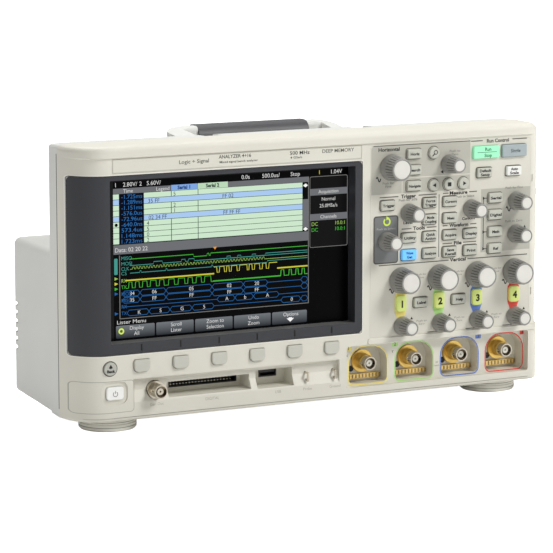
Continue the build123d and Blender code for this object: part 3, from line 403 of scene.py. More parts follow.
class Drawing:
    """Thin shapes on a flat surface of a body, in one mesh: mm from the screen centre, lifts in mm."""

    def __init__(self, name, body, slot, y, back=False):
        self.name, self.body, self.slot, self.y = name, body, slot, y
        self.side = 1.0 if back else -1.0
        self.mesh = bmesh.new()
        self.paints = {}
        self.words = []

    def index(self, paint):
        return self.paints.setdefault(paint, len(self.paints))

    def vertex(self, x, z, lift):
        return self.mesh.verts.new((DATUM_X + x * MM, self.y + self.side * lift * MM, DATUM_Z + z * MM))

    def face(self, outline, paint, lift=0.05):
        points = outline if self.side < 0 else outline[::-1]
        face = self.mesh.faces.new([self.vertex(x, z, lift) for x, z in points])
        face.material_index = self.index(paint)

    def box(self, x0, x1, z0, z1, paint, lift=0.05, radius=0.0):
        corners = [(x0, z0), (x1, z0), (x1, z1), (x0, z1)]
        self.face(rounded(x0, x1, z0, z1, radius, steps=5) if radius else corners, paint, lift)

    def band(self, outer, inner, paint, lift=0.05, closed=True):
        """Strip between two outlines with the same number of points."""
        a = [self.vertex(x, z, lift) for x, z in outer]
        b = [self.vertex(x, z, lift) for x, z in inner]
        count = len(a) if closed else len(a) - 1
        for k in range(count):
            j = (k + 1) % len(a)
            quad = [a[k], a[j], b[j], b[k]] if self.side < 0 else [b[k], b[j], a[j], a[k]]
            self.mesh.faces.new(quad).material_index = self.index(paint)

    def line(self, points, width, paint, lift=0.05):
        """Stroke of constant width along points."""
        left, right = [], []
        for k, (x, z) in enumerate(points):
            ax, az = points[max(0, k - 1)]
            bx, bz = points[min(len(points) - 1, k + 1)]
            length = math.hypot(bx - ax, bz - az) or 1.0
            nx, nz = -(bz - az) / length * width / 2, (bx - ax) / length * width / 2
            left.append((x + nx, z + nz))
            right.append((x - nx, z - nz))
        self.band(right, left, paint, lift, closed=False)

    def rule(self, x0, x1, z, width, paint, lift=0.05):
        """Level stroke."""
        self.line([(x0, z), (x1, z)], width, paint, lift)

    def border(self, box, outer, inner, paint, lift):
        """Strip round a box, between two outlines given by inset and corner radius."""
        x0, x1, z0, z1 = box
        rims = [rounded(x0 + gap, x1 - gap, z0 + gap, z1 - gap, radius) for gap, radius in (outer, inner)]
        self.band(*rims, paint, lift)

    def ring(self, x, z, outer, inner, paint, lift, *arc):
        """Ring between two radii, whole or along an arc of steps, start and sweep."""
        self.band(circle(x, z, outer, *arc), circle(x, z, inner, *arc), paint, lift, closed=len(arc) < 3)

    def text(self, body, x, z, cap, paint, lift=0.06, width=None, align="CENTER", bold=0.0):
        """Lettering of a capital height, centred in height on z, squeezed to a width if one is given."""
        curve = bpy.data.curves.new("words", "FONT")
        curve.body = body
        curve.align_x = align
        curve.offset = bold
        curve.resolution_u = 3
        word = place("words", curve)
        self.words.append((word, x, z, cap, self.index(paint), lift, width))

    def set_words(self):
        bpy.context.view_layer.update()
        graph = bpy.context.evaluated_depsgraph_get()
        for word, x, z, cap, paint, lift, width in self.words:
            letters = word.evaluated_get(graph).to_mesh()
            reach = [v.co.x for v in letters.vertices]
            tall = cap / LETTER_CAP
            wide = width / (max(reach) - min(reach)) if width else tall
            spots = [self.vertex(x - self.side * v.co.x * wide, z + (v.co.y - LETTER_CAP / 2) * tall, lift)
                     for v in letters.vertices]
            for polygon in letters.polygons:
                try:
                    self.mesh.faces.new([spots[i] for i in polygon.vertices]).material_index = paint
                except ValueError:
                    continue
            word.evaluated_get(graph).to_mesh_clear()
        for word, *_ in self.words:
            curve = word.data
            bpy.data.objects.remove(word)
            bpy.data.curves.remove(curve)

    def done(self):
        if self.words:
            self.set_words()
        piece = piece_of(self.mesh, self.name, self.paints)
        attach(piece, self.body)


# ---- screen picture
ROW_TOP, ROW_H, ROW_GAP = 46.6, 3.9, 0.35
ROW_TIMES = (
    "-1.725ms", "-1.289ms", "-1.151ms", "-576.0us", "-72.96us", "-640.0ns", "573.4us", "1.148ms", "1.723ms",
)
ROW_WORDS = [("35 FF", -61.5, 1.5), ("FF 02", -4.0, 1.5), ("02 34 FF", -58.5, 4.5), ("FF FF FF", -1.0, 4.5)]
BLUE_ROWS = (1, 4)
LCD_X = (-92.4, 92.4)
MARK_X = (LCD_X[0], -88.0)
DATA_X = (-69.0, 55.3)
SIDEBAR_X = (61.2, 92.0)
STATUS = [
    ("1", -90.5, "light"), ("2.80V/", -79.5, "light"), ("2", -71.5, "light"), ("5.60V/", -61.5, "light"),
    ("0.0s", 10.0, "light"), ("500.0us/", 30.0, "light"), ("Stop", 49.5, "light"), ("1", 69.0, "yellow"),
    ("1.04V", 82.5, "light"),
]
TRACE_NAMES = [
    (1.6, "MISO", "teal"), (-2.2, "MOSI", "teal"), (-5.8, "CLK", "teal"), (-9.0, "CS", "teal"),
    (-14.2, "RX", "lime"), (-18.6, "TX", "green"), (-23.4, "MOSI", "blue"), (-28.0, "MISO", "blue"),
    (-32.4, "RX", "blue"), (-37.0, "TX", "blue"),
]
BUS_WORDS = [
    (-86.0, -72.5, "34", "35"), (-72.5, -52.5, "06", "FF"), (-52.5, -16.7, "05", "FF"),
    (-16.7, 8.0, "02", "FF"), (8.0, 27.5, "20", "FF"), (54.0, 59.8, "", ""),
]
SOFTKEY_WORDS = [
    ("Display", "All"), ("Scroll", "Lister"), ("Zoom to", "Selection"), ("Undo", "Zoom"), ("Options",),
]
SOFTKEY_EDGES = [-91.0, -60.2, -30.0, 0.6, 31.0, 60.2]


class Picture(Drawing):
    """Drawing on the display, with its paints given by name."""

    def index(self, paint):
        return super().index(LIT[paint])

    def line(self, points, width, paint, lift=0.1):
        super().line(points, width, paint, lift)

    def rule(self, x0, x1, z, width, paint):
        super().rule(x0, x1, z, width, paint, 0.1)

    def text(self, body, x, z, cap, paint, **style):
        super().text(body, x, z, cap, paint, 0.12, **style)


def lister(page):
    """Status bar, decoded table and the grey bars round it."""
    page.box(*LCD_X, -55.4, 55.4, "black", 0.04)
    for words, x, paint in STATUS:
        page.text(words, x, 53.2, 2.9, paint)
    page.box(LCD_X[0], 60.5, 46.8, 50.6, "grey", 0.07)
    page.text("Time", -81.0, 48.7, 2.5, "light")
    page.text("Legend", -54.5, 48.7, 2.5, "light")
    page.box(-48.0, -28.0, 46.8, 50.8, "tab_blue", 0.09)
    page.text("Serial 1", -38.0, 48.8, 2.4, "tab_text", bold=0.04)
    page.box(-27.6, -4.0, 46.8, 50.8, "tab_green", 0.09)
    page.text("Serial 2", -16.0, 48.8, 2.4, "row_text", bold=0.04)
    for k, time in enumerate(ROW_TIMES):
        high = ROW_TOP - ROW_H * k
        low = high - ROW_H
        middle = (low + high) / 2
        paint = "blue_row" if k in BLUE_ROWS else "green_row"
        page.box(*MARK_X, low + ROW_GAP, high, paint, 0.07)
        page.box(*DATA_X, low + ROW_GAP, high, paint, 0.07)
        page.box(*DATA_X, low, low + ROW_GAP, "rule", 0.07)
        page.box(*MARK_X, low, low + ROW_GAP, "rule", 0.07)
        page.text(time, -70.2, middle, 2.8, "navy_text", width=15.8, align="RIGHT")
        if k not in BLUE_ROWS:
            for x in (-48.0, -27.3):
                page.box(x - 0.25, x + 0.25, low, high, "rule", 0.08)
            page.text("502124"[k % 6], -45.5 if k < 5 else -66.0, middle, 2.8, "row_text")
    page.box(-87.6, -69.2, ROW_TOP - ROW_H * len(ROW_TIMES), ROW_TOP, "navy", 0.06)
    for words, x, row in ROW_WORDS:
        page.text(words, x, ROW_TOP - ROW_H * row, 2.8, "row_text")
    page.face(circle(-90.2, ROW_TOP - ROW_H * 5.5, 1.2, 16), "black", 0.1)
    # scroll bar
    page.box(55.5, 60.2, 14.0, 34.5, "grey", 0.08)
    for z in (44.4, 13.0):
        page.face([(57.8, z - 1.4), (59.8, z), (57.8, z + 1.4), (55.8, z)], "white", 0.1)
    page.box(LCD_X[0], 60.5, 4.6, 11.2, "grey", 0.07)
    page.text("Data: 02 20 22", -91.5, 7.6, 2.9, "light", align="LEFT")


def step_trace(page, paint, low, high, edges, width=0.45, start=-80.0, end=59.5):
    """Two-level trace that changes level at each edge."""
    points, level = [(start, low)], low
    for x in edges:
        points.append((x - 0.2, level))
        level = high if level == low else low
        points.append((x + 0.2, level))
    points.append((end, level))
    page.line(points, width, paint)


def pulses(x0, x1, pitch):
    """Edges of an even pulse train."""
    count = int((x1 - x0) / pitch)
    return [x0 + pitch * k for k in range(count - count % 2)]


def bus_cell(page, x0, x1, z, words):
    """Hexagonal bus cell with its value."""
    slant = 1.6
    for half in (2.0, -2.0):
        page.line([(x0, z), (x0 + slant, z + half), (x1 - slant, z + half), (x1, z)], 0.4, "blue")
    if words:
        page.text(words, (x0 + x1) / 2 + (x1 - x0) * 0.05, z, 2.6, "light")


def waves(page):
    """Digital traces, analog traces and decoded buses."""
    page.box(-88.2, -87.6, -40.6, 3.8, "frame", 0.08)
    page.box(-88.2, 60.4, -41.0, -40.5, "frame", 0.08)
    page.box(59.9, 60.5, -41.0, 50.6, "frame", 0.08)
    for z, words, paint in TRACE_NAMES:
        page.text(words, -86.8, z, 2.5, paint, align="LEFT", width=2.0 * len(words))
    page.box(-92.0, -89.4, -9.6, 1.8, "teal", 0.08, 0.6)
    for z, paint in ((-12.4, "lime"), (-16.0, "yellow"), (-19.6, "green"), (-23.0, "blue"), (-37.0, "blue")):
        page.face([(-91.8, z - 1.2), (-89.0, z), (-91.8, z + 1.2)], paint, 0.1)
    step_trace(page, "green", 0.8, -0.9, [-31.0, -20.5, -19.0, -17.8], 0.5)
    step_trace(page, "teal", -3.8, -2.2, [-62.0, -55.2, -40.5, -37.5, -35.0, -30.5])
    step_trace(page, "teal", -3.9, -2.3, [-5.0, -2.0, 3.5, 6.2, 15.0, 18.0, 25.5], start=-17.0)
    step_trace(page, "lime", -6.4, -4.9, pulses(-78.0, 26.0, 1.3), 0.35)
    step_trace(page, "teal", -9.1, -7.8, [-72.5, -71.5, -52.5, -51.5, -17.0, -16.0, 27.0])
    page.rule(-83.5, -15.0, -14.1, 1.0, "yellow")
    edges = [-12.8, -10.8, -7.0, -5.2, -3.2, -1.4, 3.0, 5.0, 11.0, 12.6, 15.0, 17.0, 21.0, 23.2, 26.2, 28.4]
    step_trace(page, "yellow", -9.4, -13.4, edges, 0.55, start=-15.0, end=35.0)
    page.rule(35.0, 59.6, -13.7, 1.0, "yellow")
    edges = [-81.0, -78.5, -76.0, -73.0, -70.5, -67.0, -64.5, -60.0, -57.5, -54.0, -50.5, -46.0, -43.0, -38.0,
             -35.5, -32.0, -29.0, -25.0, -22.5, -17.5]
    step_trace(page, "green", -19.6, -15.4, edges, 0.55, start=-83.0, end=-16.0)
    page.rule(-16.0, 38.0, -19.4, 0.9, "green")
    step_trace(page, "green", -19.4, -15.2, [38.0, 40.5, 44.5, 46.5, 50.0, 52.0, 55.0, 57.0], 0.7, start=37.5)
    for x0, x1, high, low in BUS_WORDS:
        bus_cell(page, x0, x1, -23.4, high)
        bus_cell(page, x0, x1, -28.0, low)
    for x0, x1, z in ((27.5, 54.0, -23.4), (27.5, 54.0, -28.0), (-86.0, -12.8, -32.6)):
        page.rule(x0, x1, z, 0.4, "blue")
    for x0, x1, words in ((-12.8, 1.4, "A"), (1.4, 16.0, "b"), (16.0, 36.5, "A")):
        bus_cell(page, x0, x1, -32.6, words)
    page.rule(36.5, 59.8, -32.6, 0.4, "blue")
    for x0, x1, words in ((-82.5, -65.7, "K"), (-65.7, -49.5, "S"), (-49.5, -32.4, "G"), (-32.4, -15.1, "5"),
                          (38.0, 54.0, "0"), (54.0, 59.8, "")):
        bus_cell(page, x0, x1, -37.1, words)
    page.rule(-15.1, 38.0, -37.1, 0.4, "blue")
    page.face([(-14.3, 3.0), (-12.8, 5.0), (-15.8, 5.0)], "orange", 0.1)


def menu(page):
    """Menu title, softkey labels and the sidebar."""
    page.text("Lister Menu", -90.5, -43.2, 2.6, "light", align="LEFT", width=22.0)
    for k, words in enumerate(SOFTKEY_WORDS):
        x0, x1 = SOFTKEY_EDGES[k], SOFTKEY_EDGES[k + 1] - 1.2
        page.box(x0, x1, -54.6, -45.6, "softkey", 0.08, 0.9)
        for z, word in zip((-47.8, -51.8), words):
            page.text(word, (x0 + x1) / 2 + 1.0, z, 2.6, "light")
    page.ring(-87.0, -49.6, 2.2, 1.1, "ring", 0.12, 24)
    page.box(44.2, 47.0, -51.0, -50.2, "white", 0.12)
    page.face([(45.6, -53.4), (48.6, -50.8), (42.6, -50.8)], "white", 0.13)
    # sidebar box
    (x0, x1), middle = SIDEBAR_X, 76.4
    page.box(x0, x1, -1.0, 50.4, "frame", 0.06, 1.4)
    page.box(x0 + 0.4, x1 - 0.4, -0.6, 50.0, "sidebar", 0.07, 1.1)
    for z, words in ((39.2, "Acquisition"), (21.0, "Channels")):
        page.box(x0 + 0.4, x1 - 0.4, z - 2.5, z + 2.3, "grey", 0.09)
        page.text(words, middle, z, 2.5, "light")
    page.text("Normal", middle, 33.8, 2.5, "light")
    page.text("25.0MSa/s", middle, 29.0, 2.5, "light")
    for z, paint in ((16.0, "lime"), (11.8, "green")):
        page.text("DC", 62.5, z, 2.6, paint, align="LEFT")
        page.text("10.0:1", 90.5, z, 2.6, paint, align="RIGHT")


def screen_picture():
    """What the display shows while it lists decoded buses."""
    page = Picture("screen_picture", "case", "display", GLASS_Y)
    lister(page)
    waves(page)
    menu(page)
    page.done()


# ---- control panel print
HEADINGS = [
    ("Horizontal", 120.0, 68.0, 17.5), ("Run Control", 211.5, 70.0, 19.0), ("Trigger", 136.3, 33.3, 12.5),
    ("Measure", 178.3, 33.4, 15.0), ("Tools", 145.3, 9.4, 10.0), ("Waveform", 179.0, 9.6, 16.0),
    ("File", 178.0, -3.6, 6.5), ("Vertical", 178.5, -15.9, 13.5),
]
HEADING_LINES = [
    (188.5, 198.5, 70.4), (224.0, 236.5, 70.4), (112.5, 128.0, 33.4), (144.8, 160.0, 33.4),
    (165.3, 170.0, 33.4), (187.5, 194.0, 33.4), (130.8, 139.0, 9.4), (151.8, 160.0, 9.4),
    (165.3, 169.3, 9.6), (188.6, 193.8, 9.6),
    (165.3, 173.4, -3.6), (182.6, 193.8, -3.6), (112.0, 170.5, -16.1), (186.5, 238.0, -16.1),
]
NOTES = [
    ("Push for", 119.5, 43.6, 9.5), ("Fine", 119.5, 41.2, 5.0), ("Push to", 175.0, 64.2, 9.0),
    ("Zero", 175.0, 61.7, 5.5), ("Push for 50%", 136.0, 30.6, 15.5), ("Push to Select", 184.0, 30.4, 15.5),
    ("Push for Fine", 226.0, 34.4, 15.0), ("Push to Zero", 226.0, 9.6, 15.0),
]
BIG_KNOBS = ["knob_horizontal_scale", "knob_scale_1", "knob_scale_2", "knob_scale_3", "knob_scale_4"]


def centre_of(node):
    """A node's centre, in mm from the screen centre."""
    low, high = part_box(node)
    middle = (low + high) / 2
    return (middle.x - DATUM_X) / MM, (middle.z - DATUM_Z) / MM


def wave_icon(page, x, z, size):
    """Small S-shaped wave."""
    points = [(x + size * (t / 8.0 - 0.5) * 0.9, z + size * 0.42 * math.sin(math.pi * 2 * t / 8.0 + 0.35))
              for t in range(9)]
    page.line(points, size * 0.19, INK)


def arrow(page, x, z, size, turn, paint=INK):
    """Solid triangle that points along an angle."""
    page.face([(x + size * math.cos(math.radians(turn + a)), z + size * math.sin(math.radians(turn + a)))
               for a in (0, 120, 240)], paint, 0.06)


def key_boxes(node):
    """Front-view box of every key cap in a keypad node, in mm from the screen centre."""
    vertices = NODES[node].data.vertices
    first = {}
    same = [first.setdefault(tuple(round(c, 6) for c in vertex.co), vertex.index) for vertex in vertices]
    caps = []
    for edge in NODES[node].data.edges:
        joined = {same[i] for i in edge.vertices}
        for cap in [cap for cap in caps if cap & joined]:
            caps.remove(cap)
            joined |= cap
        caps.append(joined)
    boxes = []
    for cap in sorted(caps, key=min):
        xs = [(vertices[i].co.x - DATUM_X) / MM for i in cap]
        zs = [(vertices[i].co.z - DATUM_Z) / MM for i in cap]
        boxes.append((min(xs), max(xs), min(zs), max(zs)))
    return boxes


KEYPADS = ("menu_keys", "horizontal_keys", "setup_keys", "source_keys", "label_keys")
# coloured link between a channel's two knobs
LINK_OUTLINE = [
    (-2.9, -13.0), (2.9, -13.0), (2.9, -10.6), (4.9, -5.8), (4.9, 5.8), (3.2, 8.4), (3.2, 12.0),
    (-3.2, 12.0), (-3.2, 8.4), (-4.9, 5.8), (-4.9, -5.8), (-2.9, -10.6),
]


def panel_print():
    """Patches, headings, rules, arrows and wave icons of the control panel, with painted shade round the
    keys, a painted shadow line under the brow and painted knob shadows on the ledge.
    """
    page = Drawing("panel_print", "case", "panel", FRONT_Y)
    corner = circle(108.2, 68.3, 2.7, 6, 90.0, 90.0)
    page.face([(105.5, 35.6), (188.0, 35.6), (188.0, 71.0)] + corner, PATCH, 0.02)
    page.box(197.6, 240.0, -12.2, 34.6, PATCH, 0.02)
    # painted shadow of the brow along the top of the Horizontal patch
    page.rule(107.2, 188.0, 70.8, 0.7, INK_AND_SHADOW_LINE)
    page.rule(131.0, 188.0, 46.6, 0.7, PANEL, 0.04)
    page.line([(131.0, 35.8), (131.0, 46.6)], 0.6, PANEL, 0.04)
    page.line([(162.0, -13.0), (162.0, 33.0)], 0.8, INK_SOFT)
    for words, x, z, width in HEADINGS:
        page.text(words, x, z, 2.5, INK, width=width, bold=0.03)
    for x0, x1, z in HEADING_LINES:
        page.rule(x0, x1, z, 0.75, INK_AND_SHADOW_LINE)
    for words, x, z, width in NOTES:
        page.text(words, x, z, 1.6, INK_SOFT, width=width, bold=0.02)
    page.text("Level", 136.0, 13.9, 1.9, INK, width=7.5, bold=0.03)
    page.text("Cursors", 187.0, 13.9, 1.9, INK, width=11.0, bold=0.03)
    page.line([(199.8, -9.7), (199.8, 27.8)], 0.75, INK_AND_SHADOW_LINE)
    for k in range(4):
        z = 27.8 - 12.5 * k
        arrow(page, 199.9, z, 1.45, 0)
        page.rule(201.0, 203.2, z, 0.7, INK_AND_SHADOW_LINE)
    for node in BIG_KNOBS:
        x, z = centre_of(node)
        if node == "knob_horizontal_scale":
            wave_icon(page, x - 10.6, z - 8.2, 4.2)
            wave_icon(page, x + 7.6, z - 9.4, 2.0)
            continue
        wave_icon(page, x - 7.6, z - 7.4, 4.2)
        wave_icon(page, x + 10.6, z - 8.8, 2.0)
        if not node.endswith("4"):
            page.text("Push for", x + 17.2, z + 3.2, 1.4, INK_SOFT, width=8.5)
            page.text("Fine", x + 17.2, z + 0.9, 1.4, INK_SOFT, width=4.6)
    for k in range(1, 5):
        x, z = centre_of(f"knob_position_{k}")
        arrow(page, x + 8.4, z + 4.6, 1.3, 90)
        if k < 4:
            page.text("Push to", x + 16.8, z + 2.4, 1.4, INK_SOFT, width=8.5)
            page.text("Zero", x + 16.8, z + 0.1, 1.4, INK_SOFT, width=5.0)
    x, z = centre_of("knob_horizontal_position")
    arrow(page, x - 5.4, z - 5.6, 1.7, 180)
    arrow(page, x + 1.9, z - 5.9, 1.7, 0)
    x, z = centre_of("knob_source_scale")
    wave_icon(page, x - 6.4, z - 5.8, 4.2)
    wave_icon(page, x + 7.8, z - 6.6, 2.0)
    x, z = centre_of("knob_source_position")
    arrow(page, x + 8.0, z + 4.6, 1.3, 90)
    # painted shade: a dark ring or border round each key cap where its gap is in shade
    for node in KEYPADS:
        for x0, x1, z0, z1 in key_boxes(node):
            if abs((x1 - x0) - (z1 - z0)) < 0.5:
                middle, level, radius = (x0 + x1) / 2, (z0 + z1) / 2, (x1 - x0) / 2
                page.ring(middle, level, radius + 0.8, radius + 0.34, EDGE_SHADE, 0.04)
            else:
                page.border((x0, x1, z0, z1), (-0.75, 1.8), (-0.34, 1.35), EDGE_SHADE, 0.04)
    # painted shadows of the position knobs on the ledge below the panel
    for x in (158.6, 191.0, 223.0):
        page.rule(x - 5.5, x + 5.5, -68.1, 0.55, KNOB_SHADOW)
    for k in range(4):
        x, z = centre_of(f"channel_key_{k + 1}")
        page.face([(x + dx, z + dz) for dx, dz in LINK_OUTLINE], LINKS[k], 0.03)
    page.done()


def entry_print():
    """Ring arrow and words on the dark inlay, and painted shade round its edge."""
    page = Drawing("entry_print", "case", "inlay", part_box("entry_panel")[0].y)
    low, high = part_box("entry_panel")
    x0, x1 = (low.x - DATUM_X) / MM, (high.x - DATUM_X) / MM
    z0, z1 = (low.z - DATUM_Z) / MM, (high.z - DATUM_Z) / MM
    # painted shade round the edge of the inlay
    page.border((x0, x1, z0, z1), (0.05, 2.0), (0.8, 1.4), EDGE_SHADE, 0.03)
    page.ring(118.5, 15.6, 3.0, 1.9, RING_GREEN, 0.05, 30, 130.0, 290.0)
    arrow(page, 118.9, 18.2, 1.7, 0, RING_GREEN)
    page.text("Push to Select", 117.8, 10.6, 1.5, PALE_INK, width=15.5)
    page.done()


# ---- key legends
LEGENDS = {
    "menu_keys": [
        (118.75, 27.5, "Trigger"), (153.75, 27.5, "Force", "Trigger"), (153.75, 15.3, "Mode", "Coupling"),
        (136.5, 2.85, "Utility"), (153.75, 2.85, "Quick", "Action"), (153.75, -9.6, "Analyze"),
        (170.75, 27.5, "Cursors"), (170.75, 15.3, "Meas"), (170.75, 2.85, "Acquire"),
        (188.25, 2.85, "Display"),
        (170.75, -9.6, "Save", "Recall"), (188.25, -9.6, "Print"),
    ],
    "horizontal_keys": [(140.25, 63.9, "Horiz"), (140.25, 52.15, "Search"), (140.25, 40.6, "Navigate")],
    "setup_keys": [(199.75, 47.0, "Default", "Setup"), (224.75, 47.0, "Auto", "Scale")],
    "source_keys": [
        (209.25, 27.8, "Serial"), (209.25, 15.3, "Digital"), (209.25, 2.8, "Math"), (209.25, -9.7, "Ref"),
    ],
    "label_keys": [(146.75, -45.3, "Label"), (178.75, -45.3, "Help")],
}
WAVE_KEY = (136.5, -9.65)
AUTO_KEY = (224.75, 47.0)


def legend(page, x, z, lines, paint=INK):
    """One or two words on a key."""
    for k, words in enumerate(lines):
        level = z + 2.9 * ((len(lines) - 1) / 2 - k)
        page.text(words, x, level, 1.9, paint, width=min(9.8, 1.5 * len(words)), bold=0.035)


def key_page(node, sign, slot):
    """Drawing on a single key's face, with the key's centre."""
    return Drawing(f"{node}_{sign}", node, slot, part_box(node)[0].y), *centre_of(node)


def key_legends():
    """Words and signs on the keys, each riding on its own key."""
    for node, items in LEGENDS.items():
        page = Drawing(node + "_legend", node, "key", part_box(node)[0].y)
        for x, z, *lines in items:
            legend(page, x, z, lines)
        if node == "menu_keys":
            legend(page, *WAVE_KEY, ["Wave", "Gen"], BLUE_INK)
        if node == "horizontal_keys":
            page.ring(157.7, 64.2, 1.7, 1.15, INK, 0.06, 24)
            page.line([(156.5, 63.0), (154.9, 61.4)], 0.8, INK, 0.07)
            arrow(page, 157.2, 40.2, 1.8, 180)
            page.box(168.0, 171.0, 38.7, 41.7, INK, 0.06, 0.2)
            arrow(page, 181.9, 40.2, 1.8, 0)
        page.done()
    for k in range(1, 5):
        page, x, z = key_page(f"channel_key_{k}", "digit", "key_channel")
        page.text(str(k), x + 0.3, z - 0.3, 4.7, CHANNEL_INK, bold=0.05)
        page.done()
    page, x, z = key_page("run_stop_key", "legend", "key_run")
    page.text("Run", x + 1.0, z + 2.2, 2.4, RUN_INK, bold=0.02)
    page.text("Stop", x + 1.0, z - 2.3, 2.4, RUN_INK, bold=0.02)
    page.rule(x - 8.0, x + 8.5, z, 0.35, RUN_INK)
    page.done()
    page, x, z = key_page("single_key", "legend", "key_single")
    page.text("Single", x + 0.6, z, 2.5, SINGLE_INK, bold=0.02)
    page.done()
    page, x, z = key_page("power_button", "sign", "key_power")
    page.ring(x, z - 0.4, 1.9, 1.45, INK_SOFT, 0.06, 24, 125.0, 290.0)
    page.line([(x, z - 0.1), (x, z + 2.0)], 0.45, INK_SOFT, 0.07)
    page.done()
    page, x, z = key_page("back_key", "sign", "key")
    arrow(page, x, z + 1.5, 1.8, 90)
    page.box(x - 0.5, x + 0.5, z + 0.1, z + 1.2, INK, 0.06)
    page.text("Back", x, z - 1.6, 1.9, INK, width=6.2, bold=0.05)
    page.done()


def tint_keys(node, spot, paint):
    """Give one key cap of a keypad its own finish."""
    mesh = NODES[node].data
    mesh.materials.append(paint)
    number = len(mesh.materials) - 1
    reach = 7.5 * MM
    for polygon in mesh.polygons:
        dx = abs(polygon.center.x - DATUM_X - spot[0] * MM)
        dz = abs(polygon.center.z - DATUM_Z - spot[1] * MM)
        if dx < reach and dz < reach * 0.65:
            polygon.material_index = number


# ---- knobs
def lathe_point(x, z, y, radius, angle):
    """Point on a circle round a knob's axis."""
    return Vector((x + radius * math.cos(angle), y, z + radius * math.sin(angle)))


LARGE_CAP, LARGE_TAPER, LARGE_FLUTES = 13.5, 16.0 / 19.5, 26
SMALL_CAP, SMALL_TAPER, SMALL_FLUTES = 8.0, 10.4 / 14.0, 18


def fluted_knob(node, cap_width, taper, flutes):
    """Tapered knob with fine flutes behind its rim, their bottoms darkened with painted shade, and a pale cap
    let into its end.
    """
    low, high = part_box(node)
    x, z = (low.x + high.x) / 2, (low.z + high.z) / 2
    tip_y, tail_y = low.y, high.y
    base_r = (high.x - low.x) / 2
    tip_r = base_r * taper
    cap_r = cap_width / 2 * MM
    skirt = (FRONT_Y - 0.5 * MM - tip_y) / MM

    def slope(back):
        return tip_r + (base_r - tip_r) * back / skirt

    # each ring: mm behind the tip, radius, depth of the flutes as a share of the deepest
    groove = 0.55 * MM
    rings = [
        (0.45, cap_r, 0.0), (0.0, cap_r + 0.05 * MM, 0.0), (0.0, tip_r - 0.55 * MM, 0.0),
        (0.18, tip_r - 0.2 * MM, 0.0), (0.6, slope(0.6), 0.25), (1.1, slope(1.1), 1.0),
        (4.0, slope(4.0), 1.0), (7.5, slope(7.5), 1.0), (9.2, slope(9.2), 0.6), (10.4, slope(10.4), 0.0),
        (skirt - 0.5, slope(skirt - 0.5), 0.0), (skirt - 0.1, slope(skirt) - 0.15 * MM, 0.0),
        (skirt, slope(skirt) - 0.6 * MM, 0.0), (skirt, 3.0 * MM, 0.0), ((tail_y - tip_y) / MM, 3.0 * MM, 0.0),
    ]
    steps = flutes * 8
    mesh = bmesh.new()
    loops = []
    for back, radius, depth in rings:
        loop = []
        for k in range(steps):
            angle = 2 * math.pi * k / steps
            cut = groove * depth * max(0.0, math.cos(flutes * angle)) ** 2
            loop.append(mesh.verts.new(lathe_point(x, z, tip_y + back * MM, radius - cut, angle)))
        loops.append(loop)
    for number, (a, b) in enumerate(zip(loops, loops[1:])):
        fluted = 4 <= number <= 7
        for k in range(steps):
            j = (k + 1) % steps
            wall = mesh.faces.new((a[k], a[j], b[j], b[k]))
            # painted shade in the bottom of each flute
            if fluted and k % 8 in (0, 7):
                wall.material_index = 2
    mesh.faces.new(loops[-1])
    # pale cap with a shallow dish
    previous = loops[0]
    for share, back in ((0.985, 0.2), (0.93, 0.12), (0.5, 0.2), (0.15, 0.24)):
        loop = [mesh.verts.new(lathe_point(x, z, tip_y + back * MM, cap_r * share, 2 * math.pi * k / steps))
                for k in range(steps)]
        for k in range(steps):
            j = (k + 1) % steps
            mesh.faces.new((loop[k], loop[j], previous[j], previous[k])).material_index = 1
        previous = loop
    mesh.faces.new(previous[::-1]).material_index = 1
    bmesh.ops.recalc_face_normals(mesh, faces=mesh.faces)
    piece = piece_of(mesh, node + "_turned", [KNOB, CAP, FLUTE_SHADE])
    for polygon in piece.data.polygons:
        polygon.use_smooth = True
    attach(piece, node)
    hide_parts(node)


def knobs():
    """Every knob, large ones with more flutes."""
    for node in NODES:
        if node in BIG_KNOBS:
            fluted_knob(node, LARGE_CAP, LARGE_TAPER, LARGE_FLUTES)
        elif node.startswith("knob_"):
            fluted_knob(node, SMALL_CAP, SMALL_TAPER, SMALL_FLUTES)


# ---- front details
PLATE_INK = ink("ink_plate", (92, 91, 86))
PLATE_WORDS = [
    ("Logic + Signal", -35.5, 67.9, 2.6, 23.0, PLATE_INK), ("ANALYZER 4+16", -3.7, 69.9, 2.4, 25.2, INK),
    ("Mixed signal bench analyzer", -0.8, 66.2, 1.5, 30.0, INK), ("500 MHz", 47.4, 69.6, 2.5, 15.8, INK),
    ("4 GSa/s", 44.6, 66.4, 1.5, 9.4, INK), ("DEEP MEMORY", 78.2, 69.6, 2.5, 25.8, PLATE_INK),
]
GOLD_PAD = metal("gold_pad", (244, 212, 142), roughness=0.34)
PAD_GAP = plastic("pad_gap", (150, 122, 74), grain=0.1)
INPUT_X = [107.2 + 38.6 * k for k in range(4)]
INPUT_Z, WINDOW_Z = -88.0, -89.5
SOCKET_WORDS = [("Gen Out", -65.2), ("DIGITAL", -22.0), ("USB", 30.2), ("Probe", 54.0), ("Ground", 76.4)]


def front_print():
    """Outline and words of the nameplate."""
    page = Drawing("nameplate_line", "case", "nameplate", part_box("nameplate")[0].y)
    page.border((-97.3, 97.3, 62.8, 72.1), (0.0, 0.8), (0.45, 0.5), PLATE_LINE, 0.02)
    for words, x, z, cap, width, paint in PLATE_WORDS:
        page.text(words, x, z, cap, paint, 0.05, width=width, bold=0.01)
    page.done()


